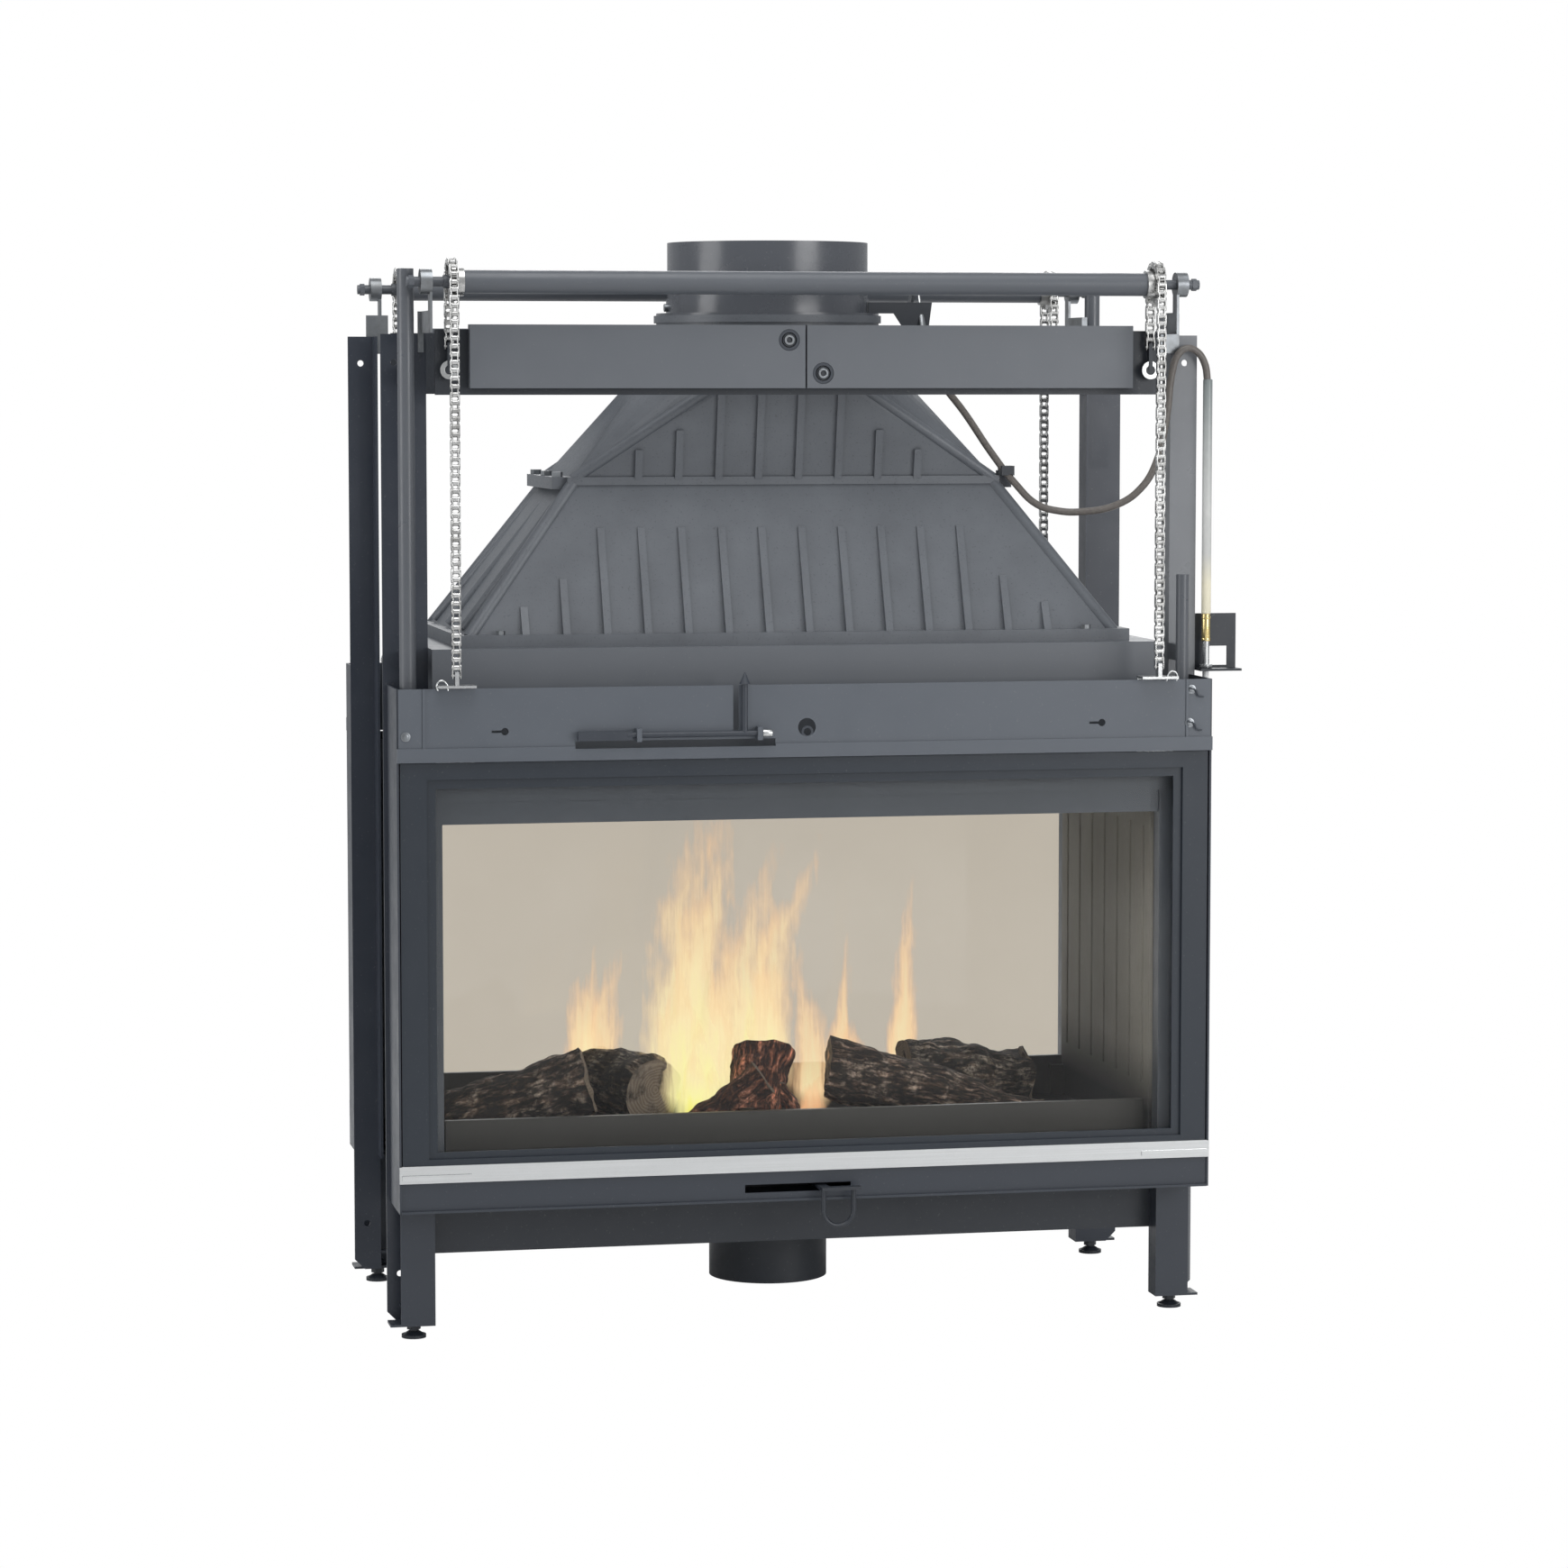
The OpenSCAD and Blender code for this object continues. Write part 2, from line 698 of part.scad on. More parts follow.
// Lintel sheet with its drip band, lever slots, eyelet and keyholes
module lintel(with_lever) {
  half = surround_x + sheet_t;
  front = -lintel_back - lintel_sheet;
  key_z = lintel_z + 36;
  color(steel_paint) difference() {
    union() {
      span([-half + 2, front, lintel_z + band_h - 1], [half - 2, -lintel_back, lintel_top]);
      span([-half, front - 2, lintel_z], [half, -lintel_back, lintel_z + band_h]);
      both_sides() span([half - 34, front - 1.5, lintel_z + band_h], [half - 31, front + 0.5, lintel_top]);
      if (with_lever) for (x = lever_lugs)
        span([x - 3, -lever_y - 6.5, lever_z - 8], [x + 3, front + 0.5, lever_z + 8]);
    }
    for (x = [-375, 364]) {
      bar_y(x, key_z, front - 1, -lintel_back + 1, 4.5);
      span([x - 16, front - 1, key_z - 1.5], [x, -lintel_back + 1, key_z + 1.5]);
    }
    bar_y(-6, key_z, front - 1, -lintel_back + 1, 11);
    span([-290, front - 3, lintel_z + 14], [-45, -lintel_back + 1, lintel_z + 23]);
    span([lever_x - 13, front - 1, lintel_z + band_h + 10], [lever_x - 6, -lintel_back + 1,
      lintel_top + 1]);
    if (with_lever) for (x = lever_lugs)
      bar_x(-lever_y, lever_z, x - 4, x + 4, lever_rod_r + 0.05, pin_fn);
  }
}

module front_lintel() {
  placed() lintel(true);
}

module rear_lintel() {
  placed() rear_side() lintel(false);
}

// Cranked lever in front of the lintel, turning on its upright leg
module vent_lever() {
  handle_l = 66;
  reach = 204;
  point_h = 14;
  tip_z = lintel_top + 16;
  placed() color(galvanised) {
    translate([lever_x, -lever_y, lever_z]) cylinder(r = lever_rod_r, h = tip_z - point_h - lever_z,
      $fn = pin_fn);
    translate([lever_x, -lever_y, tip_z - point_h]) cylinder(r1 = lever_rod_r + 3, r2 = 0.6, h = point_h,
      $fn = pin_fn);
    bar_x(-lever_y, lever_z, lever_x - reach + handle_l - 6, lever_x + 34, lever_rod_r);
    span([lever_x - reach, -lever_y - 3, lever_z - 6], [lever_x - reach + handle_l, -lever_y + 3,
      lever_z + 5]);
  }
}

module opening_frame() {
  half = surround_x - 2;
  window = min(lining_x - lining_t + 3, half - 38);
  band_z = lining_top - 18;
  back = casing_d / 2;
  color(dark_paint) {
    ring_plate(half, hearth_z, frame_top, window, hearth_top, lining_top + 9, -frame_face,
      -frame_face + plate_t);
    both_sides() span([window, -frame_face, hearth_z], [window + plate_t, -back, lining_top + 9]);
    span([-window - plate_t, -frame_face, hearth_z], [window + plate_t, -back, hearth_z + plate_t]);
    span([-window, -frame_face + plate_t, band_z], [window, -back, lining_top + 9 + plate_t]);
    both_sides() span([window, -back - 2, lining_top], [half - 30, -back, frame_top]);
    both_sides() span([half - 33, -frame_face, lining_top], [half - 30, -back, frame_top]);
  }
}

module front_opening_frame() {
  placed() opening_frame();
}

module rear_opening_frame() {
  placed() rear_side() opening_frame();
}

/* Lifting doors */

door_half = door_w / 2;
window_half = door_half - stile_w;
window_low = door_z + bottom_rail_h;
window_high = door_top - top_rail_h;
glass_lap = 10;
step_back = door_face - 4;
step_half = window_half + step_w;
step_low = window_low - step_w + plate_t;
step_high = window_high + step_w;
inner_half = step_half + 8;
channel_y = door_back + 4;
glass_front = step_back - plate_t;
glass_back = glass_front - glass_t;
strap_w = 46;
strap_t = 3;

// Hollow pressed frame: face plate, sunk step for the glass, edge walls and back channel
module door_frame() {
  wall_half = step_half + plate_t;
  wall_low = step_low - plate_t;
  wall_high = step_high + plate_t;
  color(steel_paint) difference() {
    union() {
      ring_plate(door_half, door_z, door_top, step_half, step_low, step_high, -door_face,
        -door_face + plate_t);
      ring_plate(wall_half, wall_low, wall_high, step_half, step_low, step_high, -door_face, -glass_front);
      ring_plate(wall_half, wall_low, wall_high, window_half, window_low, window_high, -step_back,
        -glass_front);
      ring_plate(door_half, door_z, door_top, door_half - plate_t, door_z + plate_t, door_top - plate_t,
        -door_face, -door_back);
      ring_plate(door_half - 1, door_z + 1, door_top - 1, inner_half, step_low, step_high,
        -channel_y - 2, -channel_y);
      ring_plate(inner_half + 2, wall_low, wall_high, inner_half, step_low, step_high, -door_face,
        -channel_y);
    }
    both_sides() span([chain_x - strap_w / 2 - gap, -door_face + plate_t, door_top - 2 * plate_t],
      [chain_x + strap_w / 2 + gap, -door_face + plate_t + strap_t + gap, door_top + 1]);
  }
}

module front_door_frame() {
  placed() door_frame();
}

module rear_door_frame() {
  placed() rear_side() door_frame();
}

module glass() {
  color([0.75, 0.78, 0.76, 0.35])
    span([-window_half - glass_lap, -glass_front, window_low - 7], [window_half + glass_lap, -glass_back,
      window_high + 7]);
}

module front_glass() {
  placed() glass();
}

module rear_glass() {
  placed() rear_side() glass();
}

module seal() {
  color("#26282a")
    ring_plate(door_half - 8, door_z + plate_t + gap, door_top - 4, door_half - 18, door_z + 10,
      door_top - 14,
      -door_back - 4, -frame_face - gap);
}

module front_seal() {
  placed() seal();
}

module rear_seal() {
  placed() rear_side() seal();
}

// Bright bar under the door, with a folded grip below and end clips
module trim_bar() {
  clip_l = 84;
  face = door_face + slide_gap + gap + bar_t;
  half = door_half + 1;
  color(bright_steel) {
    span([-half - 3, -face, trim_z], [half + 3, -face + bar_t, door_z - 0.5]);
    span([-half, -face, door_z - 2.5], [half, -door_back, door_z]);
    span([-half, -face, trim_z], [half, -door_face + 8, trim_z + bar_t]);
    both_sides() span([half - clip_l, -face - bar_t, trim_z + 4], [half, -face, trim_z + 10]);
  }
}

module front_trim_bar() {
  placed() trim_bar();
}

module rear_trim_bar() {
  placed() rear_side() trim_bar();
}

bar_t = 2;
chain_links = 49;
hanger_pin_z = shaft_z - chain_links * pitch;
lug_t = 4.8;
pin_r = 1.64;

// Steel straps from the door's top rail up to the ends of the chains
module hangers() {
  step_z = lintel_top + 1.5;
  strap_y = -door_face + plate_t;
  left = chain_x - strap_w / 2;
  right = chain_x + strap_w / 2;
  color(bright_steel) both_sides() {
    span([left, strap_y, step_high + plate_t + 1], [right, strap_y + strap_t, step_z + strap_t]);
    span([left, -door_run - 8, step_z], [right, strap_y + strap_t, step_z + strap_t]);
    difference() {
      span([chain_x - lug_t / 2, -door_run - 6, step_z + 2], [chain_x + lug_t / 2, -door_run + 6,
        hanger_pin_z + 4.5]);
      bar_x(-door_run, hanger_pin_z, chain_x - lug_t, chain_x + lug_t, pin_r + gap);
    }
  }
}

module front_hangers() {
  placed() hangers();
}

module rear_hangers() {
  placed() rear_side() hangers();
}

/* Chains, shafts and sprockets */

weight_links = 8;
wrap_links = teeth / 2;
plate_r = 4.1;
link_t = 1.3;
roller_r = 3.175;
inner_x = 2.9;

function arc(cx, r, from, to, steps) =
  [for (i = [0:steps]) [cx + r * cos(from + (to - from) * i / steps),
    r * sin(from + (to - from) * i / steps)]];
plate_outline = concat(arc(0, plate_r, 60, 300, 5), arc(pitch, plate_r, 240, 480, 5));

// Place of each roller, from the door's hanger up, over the sprocket and down to the weight
function roller_at(i) =
  i <= chain_links ? [-door_run, shaft_z - (chain_links - i) * pitch] :
  i <= chain_links + wrap_links ?
    [-shaft_y - pitch_r * cos((i - chain_links) * 360 / teeth),
      shaft_z + pitch_r * sin((i - chain_links) * 360 / teeth)] :
  [-weight_run, shaft_z - (i - chain_links - wrap_links) * pitch];

all_links = chain_links + wrap_links + weight_links;

// One link plate between rollers i and i + 1
module link_plate(i, x) {
  p = roller_at(i);
  q = roller_at(i + 1);
  translate([x, p[0], p[1]]) rotate([atan2(q[1] - p[1], q[0] - p[0]), 0, 0]) rotate([90, 0, 90])
    linear_extrude(link_t) polygon(plate_outline);
}

module chain(side) {
  color(chain_steel) translate([side * chain_x, 0, 0]) {
    for (i = [0:all_links]) {
      half_pin = inner_x + 2 * link_t + 0.6;
      bar_x(roller_at(i)[0], roller_at(i)[1], -half_pin, half_pin, pin_r, 16);
      if (i > 0 && i < all_links) bar_x(roller_at(i)[0], roller_at(i)[1], -inner_x, inner_x, roller_r);
    }
    for (i = [0:all_links - 1]) {
      outer = i % 2 == 0;
      link_plate(i, outer ? inner_x + link_t : inner_x);
      link_plate(i, outer ? -inner_x - 2 * link_t : -inner_x - link_t);
    }
  }
}

module front_left_chain() {
  placed() chain(-1);
}

module front_right_chain() {
  placed() chain(1);
}

module rear_left_chain() {
  placed() rear_side() chain(1);
}

module rear_right_chain() {
  placed() rear_side() chain(-1);
}

hub_l = 14;
sprocket_t = 5;

// Toothed wheel with its hub, on the shaft's seat
module sprocket(side) {
  tip_out = 3;
  translate([side * chain_x, -shaft_y, shaft_z]) rotate([90, 0, 90]) difference() {
    union() {
      translate([0, 0, -sprocket_t / 2]) linear_extrude(sprocket_t) difference() {
        union() {
          circle(r = pitch_r - 2, $fn = fine_fn);
          for (k = [0:teeth - 1]) rotate((k + 0.5) * 360 / teeth)
            polygon([[pitch_r - 5, -2.9], [pitch_r + tip_out, -0.6],
              [pitch_r + tip_out, 0.6], [pitch_r - 5, 2.9]]);
        }
        for (k = [0:teeth - 1]) rotate(k * 360 / teeth) translate([pitch_r, 0]) circle(r = roller_r + gap,
          $fn = 32);
      }
      translate([0, 0, side > 0 ? -hub_l : 0]) cylinder(r = shaft_d / 2 + 3, h = hub_l, $fn = round_fn);
    }
    cylinder(r = journal_d / 2 + 2, h = 3 * hub_l, center = true, $fn = round_fn);
  }
}

module sprockets() {
  color(chain_steel) {
    sprocket(-1);
    sprocket(1);
  }
}

module front_sprockets() {
  placed() sprockets();
}

module rear_sprockets() {
  placed() rear_side() sprockets();
}

shaft_half = post_x - 22;
bearing_x = chain_x + 24;
bearing_t = 14;

// Tube between the sprockets, stepped down to the sprocket seats and the journals
module shaft() {
  tube_half = chain_x - hub_l;
  seat_half = chain_x + 10;
  color(steel_paint) translate([0, -shaft_y, shaft_z]) rotate([0, 90, 0]) {
    translate([0, 0, -tube_half]) cylinder(d = shaft_d, h = 2 * tube_half, $fn = round_fn);
    translate([0, 0, -seat_half]) cylinder(r = journal_d / 2 + 2, h = 2 * seat_half, $fn = round_fn);
    translate([0, 0, -shaft_half]) cylinder(d = journal_d, h = 2 * shaft_half, $fn = round_fn);
    for (z = [-shaft_half + 3, shaft_half - 9]) translate([0, 0, z]) cylinder(r = journal_d / 2 + 1.5,
      h = 6, $fn = 6);
  }
}

module front_shaft() {
  placed() shaft();
}

module rear_shaft() {
  placed() rear_side() shaft();
}

// Bearing on its bracket, which stands on the post
module bearing(side, post_w) {
  foot_low = post_top - 22;
  foot_end = post_x - post_w + 10;
  arm_low = shaft_z - 60;
  arm_high = shaft_z - 34;
  color(galvanised) scale_x(side) difference() {
    union() {
      bar_x(-shaft_y, shaft_z, bearing_x, bearing_x + bearing_t, 15, round_fn);
      span([bearing_x, -shaft_y - 9, arm_low], [bearing_x + plate_t, -shaft_y + 9, shaft_z]);
      span([bearing_x, -shaft_y - 9, arm_low], [bearing_x + plate_t, -post_y, arm_high]);
      span([bearing_x, -post_y - plate_t, foot_low], [foot_end, -post_y, arm_high]);
    }
    bar_x(-shaft_y, shaft_z, bearing_x - 1, bearing_x + bearing_t + 1, journal_d / 2 + 0.05, round_fn);
  }
}

module bearings() {
  bearing(-1, broad_post_w);
  bearing(1, slim_post_w);
}

module front_bearings() {
  placed() bearings();
}

module rear_bearings() {
  placed() rear_side() bearings();
}

// Tall guide tube beside the broad post and short buffer tube beside the slim one
module guide_tube_set() {
  tube_r = 10;
  tube_x = post_x - 24;
  tube_y = weight_run - 1;
  buffer_x = tube_x - 8;
  buffer_r = 8;
  buffer_h = 127;
  clip_h = 20;
  clip_zs = [lintel_top + 20, post_top - 60];
  color(steel_paint) {
    translate([-tube_x, -tube_y, frame_top]) cylinder(r = tube_r, h = shaft_z + 16 - frame_top,
      $fn = round_fn);
    translate([buffer_x, -tube_y, frame_top]) cylinder(r = buffer_r, h = lintel_top + buffer_h - frame_top,
      $fn = round_fn);
    for (z = clip_zs)
      span([-tube_x - 4, -tube_y + tube_r - 2, z], [-tube_x + 4, -post_y, z + clip_h]);
    span([buffer_x - 4, -tube_y + buffer_r - 2, clip_zs[0]], [buffer_x + 4, -post_y, clip_zs[0] + clip_h]);
  }
}

module guide_tubes() {
  placed() guide_tube_set();
  placed() rear_side() guide_tube_set();
}

/* Balance weights */

weight_z = shaft_z - 50 - weight_h;
weight_half = chain_x - 24;
carrier_half = chain_x + 16;
eye_z = shaft_z - weight_links * pitch - 28;
clamp_spread = 21;
clamp_rise = 20;

// Two cast bars, side by side, with sunk clamping screws
module weight_bars() {
  color(steel_paint) for (side = [-1, 1]) difference() {
    span([side < 0 ? -weight_half : 1, -weight_face, weight_z], [side < 0 ? -1 : weight_half, -weight_back,
      weight_z + weight_h]);
    bar_y(side * clamp_spread, weight_z + weight_h / 2 - side * clamp_rise, -weight_face - 1,
      -weight_face + 6, 13);
    bar_y(side * clamp_spread, weight_z + weight_h / 2 - side * clamp_rise, -weight_face - 1,
      -weight_back + 1, 5.5);
  }
}

module front_weight_bars() {
  placed() weight_bars();
}

module rear_weight_bars() {
  placed() rear_side() weight_bars();
}

// Back plate of the weight with its screws and the eyes for the chains
module weight_carrier() {
  back = weight_back - carrier_t;
  pin_z = shaft_z - weight_links * pitch;
  color(dark_paint) {
    span([-carrier_half, -weight_back, weight_z - 8], [carrier_half, -back, weight_z + weight_h - 6]);
    for (side = [-1, 1]) translate([side * clamp_spread, 0, weight_z + weight_h / 2 - side * clamp_rise]) {
      bar_y(0, 0, -weight_face + 6, -weight_back + 1, 5);
      bar_y(0, 0, -weight_face + 1, -weight_face + 6, 8);
    }
    both_sides() {
      bar_y(chain_x, eye_z, -weight_run - 3, -weight_back + 1, 5);
      bar_y(chain_x, eye_z, -weight_run - 1, -weight_run + 2, 11);
      difference() {
        span([chain_x - lug_t / 2, -weight_run - 4, eye_z], [chain_x + lug_t / 2, -weight_run + 4,
          pin_z + 4.5]);
        bar_x(-weight_run, pin_z, chain_x - lug_t, chain_x + lug_t, pin_r + gap);
      }
    }
  }
}

module front_weight_carrier() {
  placed() weight_carrier();
}

module rear_weight_carrier() {
  placed() rear_side() weight_carrier();
}

/* Damper control and firewood */

cable_r = 4.5;
sleeve_x = post_x + 11;
sleeve_y = post_y + 11;
sleeve_r = 6;
rod_r = 4;
bracket_z = lintel_top + 5;
bracket_t = 3;
bracket_end = post_x + 54;
sleeve_top = bracket_z + 363;
ferrule_from = 45;
ferrule_to = 100;
ferrule_r = 5;

// Points of the cable conduit from its ferrule, past the hood's joint and over
// the front right post, down to the top of the sleeve
cable_route = [
  wire_at(ferrule_to), [206, -71, 1165], [236, -80, 1124],
  [joint_half_w - 3, -100, 1074], [joint_half_w + 23, -118.6, 1036],
  [joint_half_w + 49, -127, 1010], [joint_half_w + 74, -136, 1002],
  [(joint_half_w + post_x) / 2 - 18.5, -145, 1001], [post_x - 97, -160, 1010],
  [post_x - 70, -170, 1030], [post_x - 53, -177, 1060], [post_x - 41, -184, 1120],
  [post_x - 35, -187, 1175], [post_x - 28, -188, 1196], [post_x - 17, -188, 1204],
  [post_x - 5, -188, 1201], [post_x + 6, -187.3, 1187], [sleeve_x, -sleeve_y, sleeve_top - 6]
];
route_end = len(cable_route) - 1;
route_steps = 3;
cable_sides = 12;

function unit(v) = v / norm(v);
function route_point(i) = cable_route[max(0, min(route_end, i))];

// A smooth curve through the points: place on the curve for a running number
function curve_at(run) =
  let (i = min(route_end - 1, floor(run)), t = run - i, a = route_point(i - 1), b = route_point(i),
    c = route_point(i + 1), d = route_point(i + 2))
    0.5 * (2 * b + (c - a) * t + (2 * a - 5 * b + 4 * c - d) * t * t + (3 * b - a - 3 * c + d) * t * t * t);
curve = [for (k = [0:route_end * route_steps]) curve_at(k / route_steps)];
curve_end = len(curve) - 1;
function curve_heading(k) = k == 0 ? unit(curve[1] - curve[0]) :
  k == curve_end ? unit(curve[k] - curve[k - 1]) : unit(curve[k + 1] - curve[k - 1]);
function curve_ring(k) = let (along = curve_heading(k), u = unit(cross(along, [0, 1, 0])), v = cross(along,
  u))
  [for (j = [0:cable_sides - 1])
    curve[k] + cable_r * (cos(j * 360 / cable_sides) * u + sin(j * 360 / cable_sides) * v)];

// Tube along the curve, ring by ring
module conduit() {
  points = [for (k = [0:curve_end]) each curve_ring(k)];
  last_ring = curve_end * cable_sides;
  walls = [for (k = [0:curve_end - 1]) for (j = [0:cable_sides - 1])
    let (a = k * cable_sides + j, b = k * cable_sides + (j + 1) % cable_sides)
      each [[a, a + cable_sides, b + cable_sides], [a, b + cable_sides, b]]];
  ends = [[for (j = [0:cable_sides - 1]) j], [for (j = [cable_sides - 1:-1:0]) last_ring + j]];
  polyhedron(points = points, faces = concat(walls, ends));
}

// Conduit held along its whole way, with a ferrule at the damper and a stiff sleeve below
module control_cable() {
  bore_l = 100;
  sleeve_low = bracket_z + bracket_t;
  placed() color("#6d6a66") {
    conduit();
    difference() {
      bar(wire_at(ferrule_from), wire_at(ferrule_to + 6), ferrule_r);
      bar(wire_at(ferrule_from - 1), wire_at(ferrule_to - 1), wire_r + 0.08);
    }
    difference() {
      union() {
        translate([sleeve_x, -sleeve_y, sleeve_low]) cylinder(r = sleeve_r, h = sleeve_top - sleeve_low,
          $fn = pin_fn);
        translate([sleeve_x, -sleeve_y, sleeve_low]) cylinder(r = 9, h = 6, $fn = 6);
      }
      translate([sleeve_x, -sleeve_y, bracket_z]) cylinder(r = rod_r + 0.08, h = bore_l, $fn = pin_fn);
    }
  }
}

// Saddle on the hood's joint and anchor plate on the collar, which carry the conduit
module cable_clips() {
  tab_top = joint_z + joint_plate_t / 2;
  anchor_y = -50;
  flange_top = neck_z + plate_t;
  inner_x = 118.8;
  placed() color(dark_paint) {
    difference() {
      span([joint_half_w + 6, -joint_half_d - 10, tab_top],
        [joint_half_w + 22, -joint_half_d + 12, tab_top + 12]);
      bar(curve_at(3), curve_at(4), cable_r + 3 * gap);
    }
    difference() {
      translate([0, anchor_y + plate_t, 0]) rotate([90, 0, 0]) linear_extrude(plate_t)
        polygon([[inner_x, flange_top], [152, flange_top], [168, flange_top - 24], [wire_x + 8,
          flange_top - 24],
          [wire_x + 13, flange_top + 14], [inner_x, flange_top + 14]]);
      bar(wire_at(ferrule_from - 1), wire_at(ferrule_to + 1), ferrule_r);
    }
  }
}

// Bracket behind the front right post that holds the sleeve and guides the pull rod
module cable_bracket() {
  plate_y = -post_y + post_t;
  plate_top = bracket_z + 71;
  window_x = [post_x + 19, post_x + 43];
  window_z = [bracket_z + 6, bracket_z + 30];
  placed() color(dark_paint) difference() {
    union() {
      span([post_x - slim_post_w + post_t + gap, plate_y, bracket_z], [bracket_end, plate_y + bracket_t,
        plate_top]);
      span([post_x + 1, -sleeve_y - 13, bracket_z], [bracket_end, plate_y + bracket_t,
        bracket_z + bracket_t]);
    }
    span([window_x[0], plate_y - 1, window_z[0]], [window_x[1], plate_y + bracket_t + 1, window_z[1]]);
    translate([sleeve_x, -sleeve_y, bracket_z - 1]) cylinder(r = rod_r + 0.08, h = bracket_t + 2,
      $fn = pin_fn);
  }
}

module damper_rod() {
  rod_low = bracket_z - 80;
  placed() color(bright_steel) translate([sleeve_x, -sleeve_y, rod_low]) {
    cylinder(r = rod_r, h = 140, $fn = pin_fn);
    cylinder(r = rod_r + 3, h = 22, $fn = pin_fn);
  }
}

// The logs are laid out for linings 452 mm and guards 192 mm from the middle, and follow them
logs_across = lining_x / 452;
logs_deep = guard_y / 192;

// One split log: a few wide flats round an uneven outline, its lower end on the hearth plate
module log_piece(length, r, x, y, turn, tilt) {
  faces = 9;
  outline = [for (k = [0:faces - 1]) let (a = k * 360 / faces,
    w = r * (k % 3 == 0 ? 1 : k % 3 == 1 ? 0.86 : 0.94))
    [w * cos(a), w * sin(a)]];
  long = length * logs_across;
  rise = hearth_top + gap + long / 2 * abs(sin(tilt)) + r * cos(tilt);
  translate([x * logs_across, y * logs_deep, rise]) rotate([0, tilt, turn]) rotate([0, 90, 0])
    translate([0, 0, -long / 2]) linear_extrude(long) polygon(outline);
}

module firewood() {
  placed() color("#4a3a2e") {
    log_piece(190, 40, -333, -62, -8, -16);
    log_piece(150, 50, -196, 28, 8, 3);
    log_piece(130, 36, -38, -80, 85, -30);
    log_piece(290, 33, 190, -90, -6, 8);
    log_piece(170, 42, 262, 20, 4, 9);
    log_piece(120, 17, -160, -95, 5, 0);
    log_piece(100, 17, 72, -138, -5, 0);
  }
}

base_box();
air_duct();
hearth_plate();
log_guards();
left_lining();
right_lining();
firebox_casing();
lower_hood();
upper_hood();
hood_bolts();
flue_collar();
front_left_post();
front_right_post();
rear_left_post();
rear_right_post();
front_left_leg();
front_right_leg();
rear_left_leg();
rear_right_leg();
levelling_feet();
front_surround();
rear_surround();
front_lintel();
rear_lintel();
front_opening_frame();
rear_opening_frame();
guide_tubes();
front_bearings();
rear_bearings();
front_left_chain();
front_right_chain();
rear_left_chain();
rear_right_chain();
firewood();
control_cable();
cable_clips();
cable_bracket();
front_door_frame();
front_glass();
front_seal();
front_trim_bar();
front_hangers();
rear_door_frame();
rear_glass();
rear_seal();
rear_trim_bar();
rear_hangers();
front_weight_bars();
front_weight_carrier();
rear_weight_bars();
rear_weight_carrier();
front_shaft();
front_sprockets();
rear_shaft();
rear_sprockets();
flue_damper();
air_shutter();
vent_lever();
damper_wire();
damper_rod();
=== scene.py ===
# Double-sided fireplace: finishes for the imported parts, and the pieces made here:
# firewood, embers, flames, running chains, the control cable and small hardware.
import math
import random
import bpy
from mathutils import Matrix, Vector
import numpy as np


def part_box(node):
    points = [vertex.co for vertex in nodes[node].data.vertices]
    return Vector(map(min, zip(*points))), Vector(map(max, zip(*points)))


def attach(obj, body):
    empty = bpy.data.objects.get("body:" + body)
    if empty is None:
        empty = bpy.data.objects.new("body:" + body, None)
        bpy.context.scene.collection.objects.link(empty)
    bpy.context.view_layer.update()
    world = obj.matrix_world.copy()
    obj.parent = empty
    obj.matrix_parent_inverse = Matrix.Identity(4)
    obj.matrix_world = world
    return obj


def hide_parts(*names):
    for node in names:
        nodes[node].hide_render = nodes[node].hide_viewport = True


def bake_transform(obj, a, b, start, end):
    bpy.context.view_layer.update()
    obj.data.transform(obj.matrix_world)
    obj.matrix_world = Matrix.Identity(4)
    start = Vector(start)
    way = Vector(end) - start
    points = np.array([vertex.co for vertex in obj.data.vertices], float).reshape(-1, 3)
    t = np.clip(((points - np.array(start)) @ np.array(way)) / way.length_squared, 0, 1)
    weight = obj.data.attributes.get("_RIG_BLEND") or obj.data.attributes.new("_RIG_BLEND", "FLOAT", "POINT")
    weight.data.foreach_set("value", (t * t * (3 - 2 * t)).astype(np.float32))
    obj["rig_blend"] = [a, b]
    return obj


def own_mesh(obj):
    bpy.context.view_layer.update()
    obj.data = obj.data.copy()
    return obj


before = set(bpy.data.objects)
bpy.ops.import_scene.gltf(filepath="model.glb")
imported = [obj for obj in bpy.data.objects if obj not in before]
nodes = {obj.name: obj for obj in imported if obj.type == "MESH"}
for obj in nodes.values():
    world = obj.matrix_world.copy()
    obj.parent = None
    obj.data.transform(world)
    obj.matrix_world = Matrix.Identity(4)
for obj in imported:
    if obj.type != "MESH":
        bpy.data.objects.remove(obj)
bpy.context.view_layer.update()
scene = bpy.context.scene
print("frame loaded:", len(nodes), "nodes")


def deselectAll():
    if bpy.context.object and bpy.context.object.mode != "OBJECT":
        bpy.ops.object.mode_set(mode="OBJECT")
    bpy.ops.object.select_all(action="DESELECT")


def makeActive(piece):
    deselectAll()
    piece.select_set(True)
    bpy.context.view_layer.objects.active = piece


def applyPlace(piece):
    makeActive(piece)
    bpy.ops.object.transform_apply(location=True, rotation=True, scale=True)


def applyModifier(piece, kind, **settings):
    makeActive(piece)
    modifier = piece.modifiers.new(kind.title(), kind)
    for key, value in settings.items():
        setattr(modifier, key, value)
    bpy.ops.object.modifier_apply(modifier=modifier.name)


def roundEdges(piece, width, segments=2):
    applyModifier(piece, "BEVEL", width=width, segments=segments, limit_method="ANGLE")


